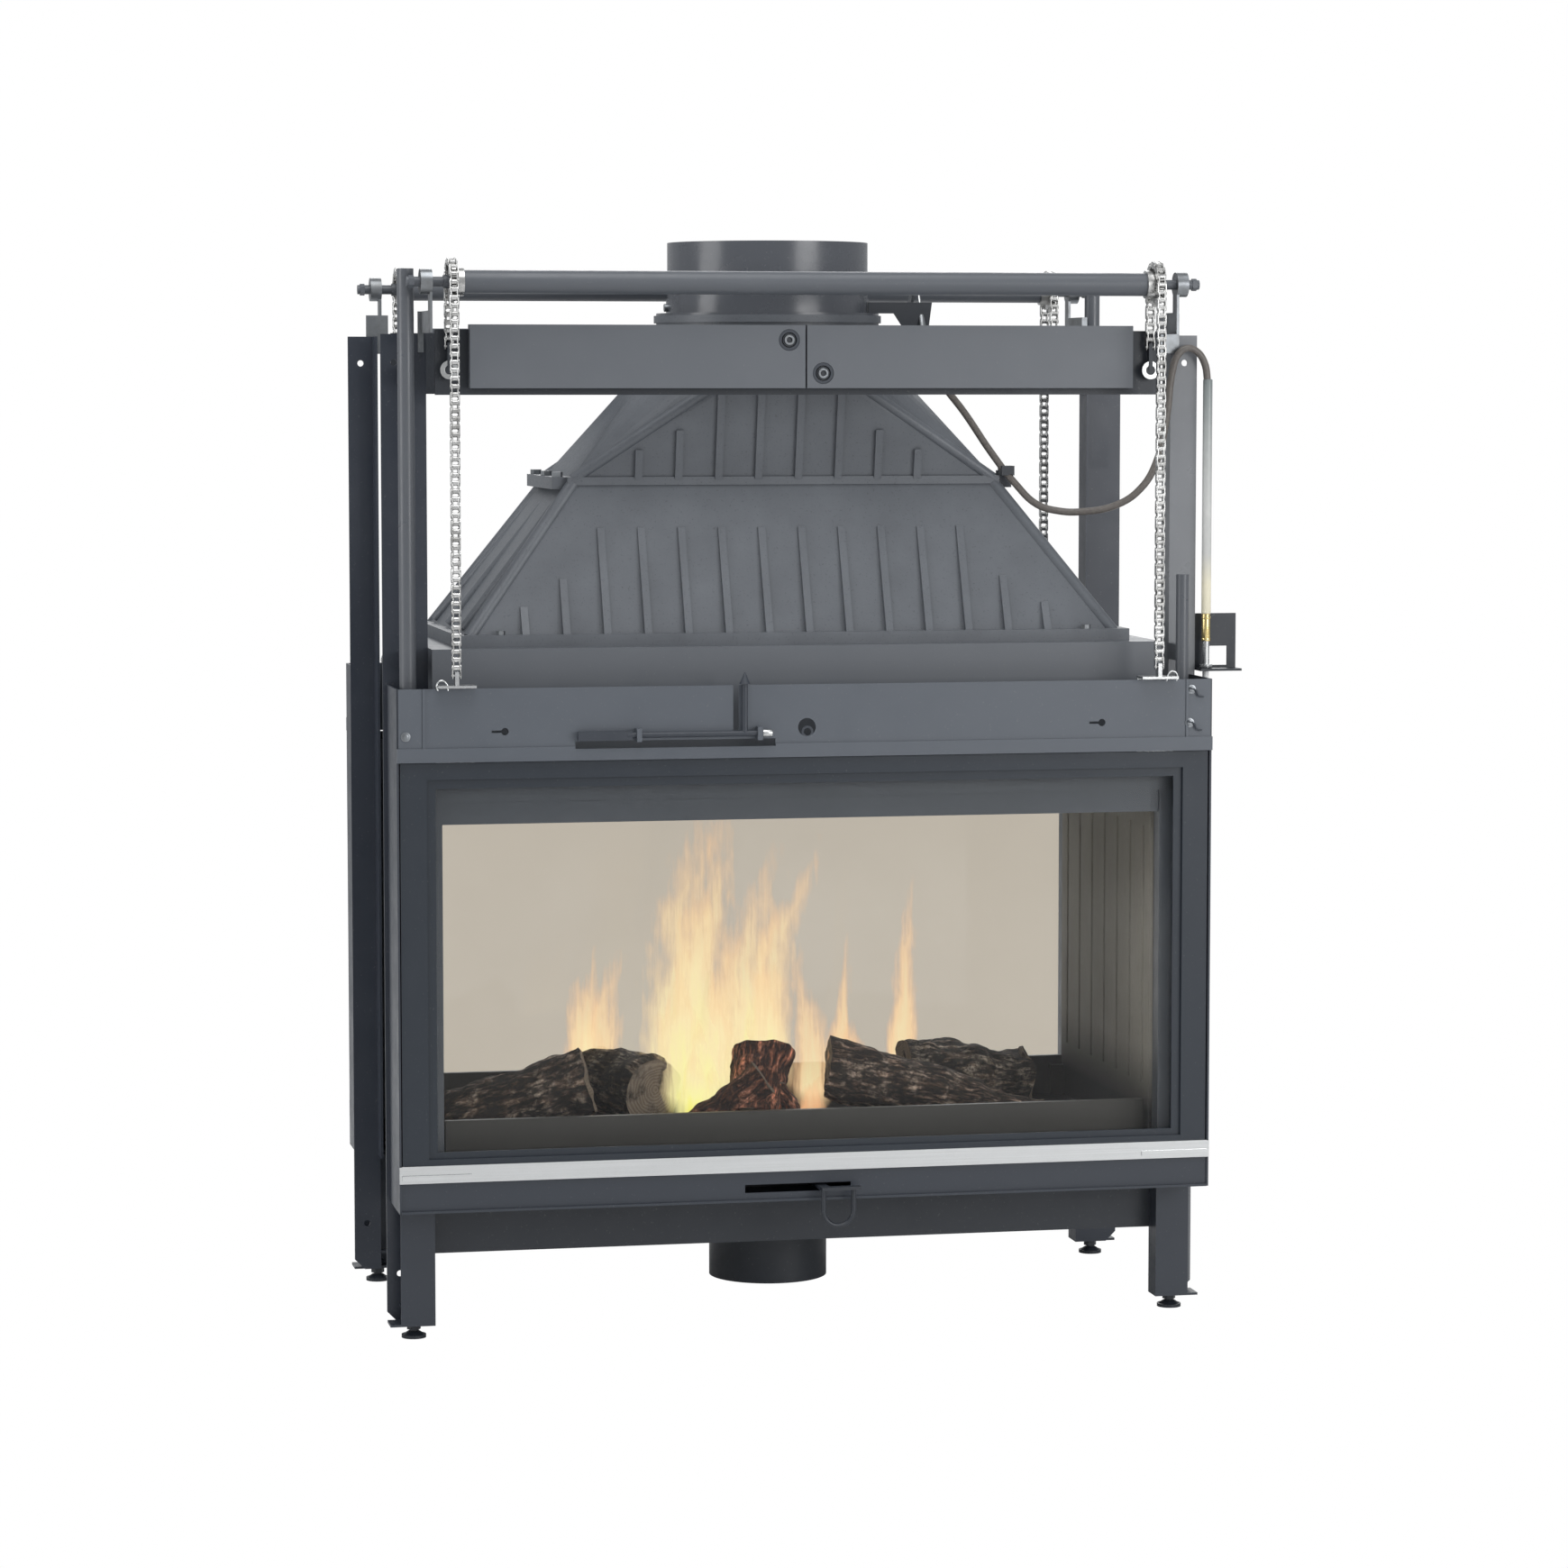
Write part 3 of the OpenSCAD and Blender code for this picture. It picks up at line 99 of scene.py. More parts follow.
def joinPieces(pieces, name):
    deselectAll()
    for piece in pieces:
        piece.select_set(True)
    bpy.context.view_layer.objects.active = pieces[0]
    bpy.ops.object.join()
    pieces[0].name = name
    pieces[0].data.name = name
    return pieces[0]


def smoothByAngle(piece, degrees=40):
    makeActive(piece)
    bpy.ops.object.shade_smooth_by_angle(angle=math.radians(degrees))


def copyPiece(piece, name):
    twin = piece.copy()
    twin.data = piece.data.copy()
    twin.name = name
    scene.collection.objects.link(twin)
    return twin


# The fireplace's own axis stands beside the frame's origin. Pieces are modelled round
# the axis and moved over when they are dressed.
axisX = -0.027
axisShift = Matrix.Translation((axisX, 0, 0))
finishes = {}       # every material by its name


def dress(piece, finish, body):
    piece.data.transform(axisShift)
    piece.data.materials.clear()
    piece.data.materials.append(finishes[finish])
    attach(piece, body)


# Short ways to wire a shader tree. A value is a number, a colour or another node's output.
def addNode(tree, kind, **settings):
    node = tree.nodes.new(kind)
    for key, value in settings.items():
        setattr(node, key, value)
    return node


def plug(tree, value, socket):
    if hasattr(value, "default_value"):
        tree.links.new(value, socket)
    else:
        socket.default_value = value


def noiseField(tree, place, scale, detail, roughness):
    field = addNode(tree, "ShaderNodeTexNoise")
    tree.links.new(place, field.inputs["Vector"])
    field.inputs["Scale"].default_value = scale
    field.inputs["Detail"].default_value = detail
    field.inputs["Roughness"].default_value = roughness
    return field.outputs["Fac"]


def spread(tree, value, low, high, toLow=0.0, toHigh=1.0):
    ranger = addNode(tree, "ShaderNodeMapRange")
    tree.links.new(value, ranger.inputs["Value"])
    ranger.inputs["From Min"].default_value = low
    ranger.inputs["From Max"].default_value = high
    ranger.inputs["To Min"].default_value = toLow
    ranger.inputs["To Max"].default_value = toHigh
    return ranger.outputs[0]


def mask(tree, place, look, name):
    # a noise cut to a range; the look holds both
    return spread(tree, noiseField(tree, place, *look[name]), *look[name + "Range"])


def calc(tree, operation, first, second=0.0):
    node = addNode(tree, "ShaderNodeMath", operation=operation)
    plug(tree, first, node.inputs[0])
    plug(tree, second, node.inputs[1])
    return node.outputs[0]


def times(tree, first, second):
    return calc(tree, "MULTIPLY", first, second)


def blendColors(tree, amount, first, second, mode="MIX"):
    node = addNode(tree, "ShaderNodeMix", data_type="RGBA", blend_type=mode)
    plug(tree, amount, node.inputs[0])
    plug(tree, first, node.inputs[6])       # 6 and 7 are the node's two colour sockets
    plug(tree, second, node.inputs[7])
    return node.outputs[2]


def tinted(tree, color, tint):
    return blendColors(tree, 1.0, color, tint, "MULTIPLY")


def colorSteps(tree, value, steps):
    ramp = addNode(tree, "ShaderNodeValToRGB")
    tree.links.new(value, ramp.inputs["Fac"])
    points = ramp.color_ramp.elements
    while len(points) < len(steps):
        points.new(0.5)
    for point, (where, color) in zip(points, steps):
        point.position = where
        point.color = color
    return ramp.outputs["Color"]


def stretched(tree, place, factors):
    node = addNode(tree, "ShaderNodeVectorMath", operation="MULTIPLY")
    tree.links.new(place, node.inputs[0])
    plug(tree, factors, node.inputs[1])
    return node.outputs[0]


def splitPlace(tree, place):
    node = addNode(tree, "ShaderNodeSeparateXYZ")
    tree.links.new(place, node.inputs[0])
    return node.outputs


def addBump(tree, shader, height, distance, strength):
    bump = addNode(tree, "ShaderNodeBump")
    bump.inputs["Distance"].default_value = distance
    bump.inputs["Strength"].default_value = strength
    tree.links.new(height, bump.inputs["Height"])
    tree.links.new(bump.outputs["Normal"], shader.inputs["Normal"])


def mixShaders(tree, amount, first, second, out):
    mix = addNode(tree, "ShaderNodeMixShader")
    tree.links.new(amount, mix.inputs[0])
    tree.links.new(first.outputs[0], mix.inputs[1])
    tree.links.new(second.outputs[0], mix.inputs[2])
    tree.links.new(mix.outputs[0], out.inputs["Surface"])


# Camera, lamps and room
view = {
    "place": (-1.2054, -5.8039, 1.1637),
    "pitchDown": 4.92,      # degrees
    "turnRight": 11.68,
    "lens": 107.5,          # millimetres
    "sensor": 36,
}
cameraData = bpy.data.cameras.new("camera")
cameraData.lens = view["lens"]
cameraData.sensor_width = view["sensor"]
cameraData.sensor_fit = "HORIZONTAL"
camera = bpy.data.objects.new("camera", cameraData)
camera.location = view["place"]
camera.rotation_euler = (math.radians(90 - view["pitchDown"]), 0, math.radians(-view["turnRight"]))
scene.collection.objects.link(camera)
scene.camera = camera

lamps = {
    "key": {"place": (2.9, -4.3, 1.7), "target": (0.3, 0, 0.7), "size": 2.4, "power": 95},
    "side": {"place": (-5.0, -0.9, 1.9), "target": (0, 0, 0.8), "size": 2.6, "power": 75},
    "top": {"place": (-0.4, -1.6, 4.6), "target": (0, 0, 0.7), "size": 3.2, "power": 105},
    "back": {"place": (1.5, 4.6, 3.2), "target": (0, 0, 0.8), "size": 3.0, "power": 80},
}
for lampName, lamp in lamps.items():
    lampData = bpy.data.lights.new(lampName, "AREA")
    lampData.size = lamp["size"]
    lampData.energy = lamp["power"]
    lampObject = bpy.data.objects.new(lampName, lampData)
    lampObject.location = lamp["place"]
    aim = Vector(lamp["target"]) - Vector(lamp["place"])
    lampObject.rotation_euler = aim.to_track_quat("-Z", "Y").to_euler()
    scene.collection.objects.link(lampObject)

scene.view_settings.view_transform = "Standard"
room = {
    "sky": (0.95, 0.97, 1, 1), "skyStrength": 0.5,
    "floor": (0.8, 0.8, 0.8, 1), "floorSize": 40,
    "seen": (1, 1, 1, 1),
}


def showWhite(tree, lit, whiteKind, outKind):
    # the camera sees plain white, also through glass; other rays meet the lit shader
    path = addNode(tree, "ShaderNodeLightPath")
    direct = calc(tree, "MAXIMUM", path.outputs["Is Camera Ray"], path.outputs["Is Transmission Ray"])
    white = addNode(tree, whiteKind)
    white.inputs["Color"].default_value = room["seen"]
    white.inputs["Strength"].default_value = 1
    mixShaders(tree, direct, lit, white, addNode(tree, outKind))


world = bpy.data.worlds.new("room")
scene.world = world
world.use_nodes = True
world.node_tree.nodes.clear()
sky = addNode(world.node_tree, "ShaderNodeBackground")
sky.inputs["Color"].default_value = room["sky"]
sky.inputs["Strength"].default_value = room["skyStrength"]
showWhite(world.node_tree, sky, "ShaderNodeBackground", "ShaderNodeOutputWorld")

deselectAll()
bpy.ops.mesh.primitive_plane_add(size=room["floorSize"], location=(0, 0, 0))
floor = bpy.context.object
floor.name = "floor"
floorPaint = bpy.data.materials.new("floorPaint")
floorPaint.use_nodes = True
floorPaint.node_tree.nodes.clear()
matt = addNode(floorPaint.node_tree, "ShaderNodeBsdfDiffuse")
matt.inputs["Color"].default_value = room["floor"]
showWhite(floorPaint.node_tree, matt, "ShaderNodeEmission", "ShaderNodeOutputMaterial")
floor.data.materials.append(floorPaint)
print("camera, lamps and room are set")


# Effects that several materials share. Each puts out a colour, a roughness and a height.
# In the dictionaries a noise is (scale, detail, roughness) and a range is (from, to) or
# (from, to, low result, high result).
groups = {}


def newGroup(name, inputs):
    group = groups[name] = bpy.data.node_groups.new(name, "ShaderNodeTree")
    for label, kind, value in inputs:
        socket = group.interface.new_socket(label, in_out="INPUT", socket_type="NodeSocket" + kind)
        socket.default_value = value
    for label, kind in (("Color", "Color"), ("Roughness", "Float"), ("Height", "Float")):
        group.interface.new_socket(label, in_out="OUTPUT", socket_type="NodeSocket" + kind)
    given = addNode(group, "NodeGroupInput").outputs
    return group, given, addNode(group, "ShaderNodeTexCoord").outputs["Object"]


def closeGroup(group, color, roughness, height):
    wanted = addNode(group, "NodeGroupOutput").inputs
    group.links.new(color, wanted["Color"])
    group.links.new(roughness, wanted["Roughness"])
    group.links.new(height, wanted["Height"])


# stove paint: fine grain, cloudy tone, a little rubbed dust
paintLook = {
    "cloud": (5, 5, 0.6), "cloudRange": (0.3, 0.7), "grain": (900, 2, 0.5),
    "smudge": (22, 6, 0.65), "smudgeRange": (0.35, 0.75, -0.07, 0.09),
    "speck": (320, 3, 0.5), "speckRange": (0.66, 0.74),
    "darker": (0.72, 0.73, 0.76, 1), "lighter": (1.22, 1.21, 1.18, 1),
    "dust": (0.42, 0.41, 0.39, 1), "dustShare": 0.08,
}
tree, given, place = newGroup("stovePaint", [
    ("Paint", "Color", (0.1, 0.1, 0.1, 1)), ("Cloud", "Float", 0.25),
    ("Grain", "Float", 0.3), ("Sheen", "Float", 0.5)])
toned = blendColors(tree, mask(tree, place, paintLook, "cloud"),
                    tinted(tree, given["Paint"], paintLook["darker"]),
                    tinted(tree, given["Paint"], paintLook["lighter"]))
mixed = blendColors(tree, given["Cloud"], given["Paint"], toned)
dusty = times(tree, mask(tree, place, paintLook, "speck"), paintLook["dustShare"])
grain = noiseField(tree, place, *paintLook["grain"])
closeGroup(tree, blendColors(tree, dusty, mixed, paintLook["dust"]),
           calc(tree, "ADD", given["Sheen"], mask(tree, place, paintLook, "smudge")),
           times(tree, grain, given["Grain"]))

# sand-cast skin: fine pits in a slow wave of tone
castLook = {
    "skin": (260, 5, 0.7), "skinRange": (0.3, 0.7, -0.06, 0.08), "skinHeight": 0.7,
    "wave": (14, 4, 0.6), "waveRange": (0.3, 0.7), "waveHeight": 0.5,
    "pit": (420, 2, 0.5), "pitRange": (0.62, 0.72), "pitColor": (0.02, 0.021, 0.023, 1),
    "pitShare": 0.35, "darker": (0.88, 0.88, 0.89, 1), "lighter": (1.1, 1.1, 1.1, 1),
}
tree, given, place = newGroup("castSkin", [
    ("Paint", "Color", (0.1, 0.1, 0.1, 1)), ("Rough", "Float", 0.62)])
skin = noiseField(tree, place, *castLook["skin"])
wave = noiseField(tree, place, *castLook["wave"])
toned = blendColors(tree, spread(tree, wave, *castLook["waveRange"]),
                    tinted(tree, given["Paint"], castLook["darker"]),
                    tinted(tree, given["Paint"], castLook["lighter"]))
pitted = times(tree, mask(tree, place, castLook, "pit"), castLook["pitShare"])
closeGroup(tree, blendColors(tree, pitted, toned, castLook["pitColor"]),
           calc(tree, "ADD", given["Rough"], spread(tree, skin, *castLook["skinRange"])),
           calc(tree, "ADD", times(tree, skin, castLook["skinHeight"]),
                times(tree, wave, castLook["waveHeight"])))

# bare metal: lines drawn along one axis, and stains that dull it a little
metalLook = {
    "line": (16, 4, 0.6), "lineRange": (0.3, 0.7, 0.92, 1.06),
    "stain": (34, 5, 0.65), "stainRange": (0.42, 0.72), "stainColor": (0.12, 0.115, 0.105, 1),
    "stainMatt": 0.35,
}
tree, given, place = newGroup("brushedMetal", [
    ("Metal", "Color", (0.5, 0.5, 0.5, 1)), ("Stretch", "Vector", (1, 60, 60)),
    ("Stain", "Float", 0.3), ("Gloss", "Float", 0.3)])
lines = noiseField(tree, stretched(tree, place, given["Stretch"]), *metalLook["line"])
stain = times(tree, mask(tree, place, metalLook, "stain"), given["Stain"])
tone = spread(tree, lines, *metalLook["lineRange"])
grey = addNode(tree, "ShaderNodeCombineColor")
for channel in grey.inputs:
    tree.links.new(tone, channel)
lined = tinted(tree, given["Metal"], grey.outputs[0])
closeGroup(tree, blendColors(tree, stain, lined, metalLook["stainColor"]),
           calc(tree, "ADD", given["Gloss"], times(tree, stain, metalLook["stainMatt"])), lines)


def newMaterial(name):
    material = bpy.data.materials.new(name)
    material.use_nodes = True
    finishes[name] = material
    return material.node_tree, material.node_tree.nodes["Principled BSDF"]


def groupMaterial(name, group, values, bump, metallic=0.0):
    tree, shader = newMaterial(name)
    effect = addNode(tree, "ShaderNodeGroup", node_tree=groups[group])
    for label, value in values.items():
        effect.inputs[label].default_value = value
    tree.links.new(effect.outputs["Color"], shader.inputs["Base Color"])
    tree.links.new(effect.outputs["Roughness"], shader.inputs["Roughness"])
    addBump(tree, shader, effect.outputs["Height"], *bump)
    shader.inputs["Metallic"].default_value = metallic


paints = {
    "slatePaint": {"color": (0.103, 0.112, 0.126, 1), "cloud": 0.15, "sheen": 0.42},
    "lintelPaint": {"color": (0.083, 0.094, 0.111, 1), "cloud": 0.15, "sheen": 0.4},
    "shaftPaint": {"color": (0.084, 0.092, 0.105, 1), "cloud": 0.1, "sheen": 0.42},
    "doorPaint": {"color": (0.014, 0.02, 0.029, 1), "cloud": 0.12, "sheen": 0.44},
    "railPaint": {"color": (0.029, 0.035, 0.046, 1), "cloud": 0.15, "sheen": 0.42},
    "postPaint": {"color": (0.031, 0.037, 0.05, 1), "cloud": 0.15, "sheen": 0.36},
    # a lighter copy of the post paint for the front right post: painted light on a face that catches the
    # light from the right
    "postPaintPaintedLight": {"color": (0.15, 0.158, 0.17, 1), "cloud": 0.15, "sheen": 0.34},
    "tubePaint": {"color": (0.088, 0.095, 0.107, 1), "cloud": 0.15, "sheen": 0.34},
    "boxPaint": {"color": (0.018, 0.022, 0.029, 1), "cloud": 0.2, "sheen": 0.45},
    "innerPaint": {"color": (0.064, 0.073, 0.087, 1), "cloud": 0.15, "sheen": 0.4},
    "guardPaint": {"color": (0.034, 0.032, 0.028, 1), "cloud": 0.2, "sheen": 0.5},
    "collarPaint": {"color": (0.075, 0.081, 0.093, 1), "cloud": 0.08, "sheen": 0.27},
}
castings = {
    "hoodIron": {"color": (0.1, 0.109, 0.122, 1), "rough": 0.42},
    "hearthIron": {"color": (0.016, 0.016, 0.017, 1), "rough": 0.7},
}
metals = {
    "brass": {"color": (0.75, 0.6, 0.27, 1), "stretch": (6, 6, 6), "stain": 0.2, "gloss": 0.25},
    "stainless": {"color": (0.66, 0.67, 0.67, 1), "stretch": (0.3, 40, 40), "stain": 0.03,
                  "gloss": 0.24},
    "zinc": {"color": (0.26, 0.275, 0.29, 1), "stretch": (4, 4, 4), "stain": 0.45, "gloss": 0.34},
    "chainSteel": {"color": (0.62, 0.62, 0.61, 1), "stretch": (8, 8, 8), "stain": 0.7, "gloss": 0.22},
    "hangerSteel": {"color": (0.66, 0.67, 0.67, 1), "stretch": (1, 40, 40), "stain": 0.3,
                    "gloss": 0.26},
}
paintGrain = 0.3
# distance and strength of the bump
bumps = {"paint": (0.0001, 0.05), "cast": (0.0005, 0.45), "metal": (0.0002, 0.2)}
for name, paint in paints.items():
    groupMaterial(name, "stovePaint", {"Paint": paint["color"], "Cloud": paint["cloud"],
                                       "Grain": paintGrain, "Sheen": paint["sheen"]}, bumps["paint"])
for name, iron in castings.items():
    groupMaterial(name, "castSkin", {"Paint": iron["color"], "Rough": iron["rough"]}, bumps["cast"])
for name, metal in metals.items():
    groupMaterial(name, "brushedMetal", {"Metal": metal["color"], "Stretch": metal["stretch"],
                                         "Stain": metal["stain"], "Gloss": metal["gloss"]},
                  bumps["metal"], 1.0)


# Materials that only one kind of piece wears
def patternMaterial(name, build, look):
    tree, shader = newMaterial(name)
    build(tree, shader, addNode(tree, "ShaderNodeTexCoord").outputs["Object"], look)


def finishShader(tree, shader, look, color, height=None):
    tree.links.new(color, shader.inputs["Base Color"])
    shader.inputs["Roughness"].default_value = look["roughness"]
    if height:
        addBump(tree, shader, height, *look["bump"])


glassLow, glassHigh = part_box("front_glass")
glassLook = {
    "haze": (3.5, 4, 0.6), "hazeRange": (0.35, 0.7),
    "near": ((0.98, 0.98, 0.975, 1), (0.965, 0.964, 0.958, 1)),
    "far": ((0.566, 0.514, 0.438, 1), (0.55, 0.499, 0.423, 1)),
    "paneMiddle": abs(glassLow[1] + glassHigh[1]) / 2,      # from the fireplace's middle plane
    "roughness": 0.04, "ior": 1.25,
}


def buildGlass(tree, shader, place, look):
    # the outer face of a pane is tinted where it is seen from inside the firebox
    tree.nodes.remove(shader)
    haze = mask(tree, place, look, "haze")
    outer = calc(tree, "GREATER_THAN", calc(tree, "ABSOLUTE", splitPlace(tree, place)["Y"]),
                 look["paneMiddle"])
    behind = addNode(tree, "ShaderNodeNewGeometry").outputs["Backfacing"]
    straight = addNode(tree, "ShaderNodeLightPath").outputs["Is Camera Ray"]
    tint = times(tree, times(tree, outer, behind), straight)
    clear = addNode(tree, "ShaderNodeBsdfTransparent")
    tree.links.new(blendColors(tree, tint, blendColors(tree, haze, *look["near"]),
                               blendColors(tree, haze, *look["far"])), clear.inputs["Color"])
    shine = addNode(tree, "ShaderNodeBsdfGlossy")
    shine.inputs["Roughness"].default_value = look["roughness"]
    mirror = addNode(tree, "ShaderNodeFresnel")
    # the node turns the ratio over on faces seen from behind, so it is turned back here
    turnedBack = times(tree, behind, look["ior"] - 1 / look["ior"])
    tree.links.new(calc(tree, "SUBTRACT", look["ior"], turnedBack), mirror.inputs["IOR"])
    mixShaders(tree, mirror.outputs[0], clear, shine, tree.nodes["Material Output"])


liningLook = {
    "soot": (4, 4, 0.6), "sootRange": (0.3, 0.7), "fine": (150, 4, 0.6),
    "dark": (0.25, 0.235, 0.2, 1), "pale": (0.34, 0.32, 0.275, 1),
    "worn": (0.17, 0.16, 0.137, 1), "wornRange": (0.5, 0.7, 0, 0.2),
    "foot": (0.02, 0.02, 0.021, 1), "footRange": (0.25, 0.33, 1, 0),    # heights of the black foot
    "roughness": 0.85, "bump": (0.0006, 0.3),
}


def buildLining(tree, shader, place, look):
    fine = noiseField(tree, place, *look["fine"])
    low = spread(tree, splitPlace(tree, place)["Z"], *look["footRange"])
    board = blendColors(tree, mask(tree, place, look, "soot"), look["dark"], look["pale"])
    worn = blendColors(tree, spread(tree, fine, *look["wornRange"]), board, look["worn"])
    finishShader(tree, shader, look, blendColors(tree, low, worn, look["foot"]), fine)


ropeLook = {
    "weave": 160, "distortion": 2, "roughness": 0.95, "bump": (0.001, 0.7),
    "dark": (0.012, 0.012, 0.013, 1), "pale": (0.05, 0.05, 0.052, 1),
}


def buildRope(tree, shader, place, look):
    weave = addNode(tree, "ShaderNodeTexWave", wave_type="BANDS", bands_direction="DIAGONAL")
    tree.links.new(place, weave.inputs["Vector"])
    weave.inputs["Scale"].default_value = look["weave"]
    weave.inputs["Distortion"].default_value = look["distortion"]
    strand = weave.outputs["Fac"]
    finishShader(tree, shader, look, blendColors(tree, strand, look["dark"], look["pale"]), strand)


barkLook = {
    "furrow": (70, 6, 0.68), "ridgeRange": (0.0, 0.16),
    "patch": (32, 5, 0.65), "patchRange": (0.5, 0.62),
    "fine": (190, 5, 0.7), "fineRange": (0.3, 0.7, 0.4, 1.2), "fineHeight": 0.5,
    "tones": [(0.1, (0.014, 0.011, 0.009, 1)), (0.4, (0.09, 0.066, 0.048, 1)),
              (0.7, (0.27, 0.205, 0.15, 1)), (0.95, (0.6, 0.5, 0.39, 1))],
    "pale": [(0.4, (0.1, 0.08, 0.06, 1)), (0.56, (0.72, 0.65, 0.53, 1))],
    # the first colour is the tint of painted firelight on logs near the flames
    "paintedFirelight": (2.0, 0.95, 0.7, 1), "roughness": 0.8, "bump": (0.005, 0.8),
}


def buildBark(tree, shader, place, look):
    # "along" runs round and along the log, and the other attribute is painted firelight: how strongly the
    # flames' light is painted onto the log as a red, lighter tint
    seam = addNode(tree, "ShaderNodeAttribute", attribute_name="along")
    paintedFirelight = addNode(tree, "ShaderNodeAttribute", attribute_name="paintedFirelight")
    furrow = noiseField(tree, seam.outputs["Vector"], *look["furrow"])
    ridge = spread(tree, calc(tree, "ABSOLUTE", calc(tree, "SUBTRACT", furrow, 0.5)),
                   *look["ridgeRange"])
    fine = noiseField(tree, place, *look["fine"])
    patch = mask(tree, place, look, "patch")
    tone = colorSteps(tree, times(tree, ridge, spread(tree, fine, *look["fineRange"])), look["tones"])
    mixed = blendColors(tree, times(tree, patch, ridge), tone, colorSteps(tree, fine, look["pale"]))
    # painted firelight: logs near the flames are tinted red and made lighter
    color = blendColors(tree, paintedFirelight.outputs["Fac"], mixed, tinted(tree, mixed, look["paintedFirelight"]))
    height = calc(tree, "ADD", ridge, times(tree, fine, look["fineHeight"]))
    finishShader(tree, shader, look, color, height)


sawnLook = {
    "wobble": (30, 4, 0.6), "wobbleReach": 0.012, "ringTurn": 1500,    # radians per metre
    "char": (40, 5, 0.7), "charRange": (0.52, 0.68), "charred": (0.02, 0.016, 0.013, 1),
    "dark": (0.16, 0.122, 0.088, 1), "pale": (0.25, 0.2, 0.15, 1),
    "roughness": 0.9, "bump": (0.004, 0.6),
}


def buildSawnWood(tree, shader, place, look):
    seam = addNode(tree, "ShaderNodeAttribute", attribute_name="rings")
    reach = addNode(tree, "ShaderNodeVectorMath", operation="LENGTH")
    tree.links.new(seam.outputs["Vector"], reach.inputs[0])
    wobble = noiseField(tree, place, *look["wobble"])
    bentReach = calc(tree, "ADD", reach.outputs["Value"], times(tree, wobble, look["wobbleReach"]))
    rings = calc(tree, "SINE", times(tree, bentReach, look["ringTurn"]))
    char = mask(tree, place, look, "char")
    wood = blendColors(tree, spread(tree, rings, -1, 1), look["dark"], look["pale"])
    finishShader(tree, shader, look, blendColors(tree, char, wood, look["charred"]), wobble)


emberLook = {
    "lump": (60, 6, 0.7), "crackRange": (0.44, 0.5, 1, 0),
    "heat": (24, 4, 0.6), "heatRange": (0.58, 0.72),
    "ash": [(0.35, (0.006, 0.005, 0.005, 1)), (0.55, (0.03, 0.026, 0.023, 1)),
            (0.7, (0.16, 0.15, 0.14, 1))],
    "cold": (0, 0, 0, 1), "glow": (1.0, 0.22, 0.03, 1), "glowStrength": 1.6,
    "roughness": 0.95, "bump": (0.006, 0.8),
}


def buildEmber(tree, shader, place, look):
    lump = noiseField(tree, place, *look["lump"])
    glow = times(tree, mask(tree, place, look, "heat"), spread(tree, lump, *look["crackRange"]))
    light = blendColors(tree, glow, look["cold"], look["glow"])
    tree.links.new(light, shader.inputs["Emission Color"])
    shader.inputs["Emission Strength"].default_value = look["glowStrength"]
    finishShader(tree, shader, look, colorSteps(tree, lump, look["ash"]), lump)


conduitLook = {"fine": (240, 3, 0.5), "dark": (0.075, 0.066, 0.06, 1), "pale": (0.17, 0.155, 0.14, 1),
               "roughness": 0.45, "bump": (0.0003, 0.3)}
rodLook = {"fine": (80, 3, 0.5), "dark": (0.62, 0.63, 0.64, 1), "pale": (0.78, 0.78, 0.77, 1),
           "roughness": 0.35}


def buildMottled(tree, shader, place, look):
    fine = noiseField(tree, place, *look["fine"])
    color = blendColors(tree, fine, look["dark"], look["pale"])
    finishShader(tree, shader, look, color, fine if "bump" in look else None)


sleeveLook = {
    "fine": (90, 3, 0.5), "dark": (0.5, 0.51, 0.5, 1), "pale": (0.66, 0.66, 0.64, 1),
    "aged": (0.22, 0.25, 0.25, 1), "agedRange": (1.0, 1.16),            # heights, upper part
    "cream": (0.85, 0.8, 0.62, 1), "creamRange": (0.91, 0.95, 1, 0),    # heights, lower end
    "roughness": 0.25, "alpha": 0.85,
}


def buildSleeve(tree, shader, place, look):
    height = splitPlace(tree, place)["Z"]
    tube = blendColors(tree, noiseField(tree, place, *look["fine"]), look["dark"], look["pale"])
    aged = blendColors(tree, spread(tree, height, *look["agedRange"]), tube, look["aged"])
    cream = spread(tree, height, *look["creamRange"])
    finishShader(tree, shader, look, blendColors(tree, cream, aged, look["cream"]))
    shader.inputs["Alpha"].default_value = look["alpha"]


flameLook = {
    "broad": (30, 60, 13), "broadNoise": (1, 3, 0.5), "thin": (170, 60, 13), "thinNoise": (1, 3, 0.6),
    "swayTop": 1.9, "swayFoot": 0.5, "edge": 1.3, "fade": 1.7, "fadeShare": 0.95, "streakShare": 0.75,
    "footRound": 0.14, "footRange": (0.0, 0.12), "bodyRange": (0.03, 0.6),
    "riseRange": (0.0, 1.0, 0.95, 0.5), "bodyHeat": 0.45, "lowHeat": 0.36, "strength": 1.02,
    "colors": [(0.0, (0.95, 0.5, 0.25, 1)), (0.25, (1.0, 0.66, 0.36, 1)), (0.5, (1.0, 0.84, 0.48, 1)),
               (0.75, (1.0, 0.94, 0.42, 1)), (1.0, (1.0, 0.95, 0.1, 1))],
}


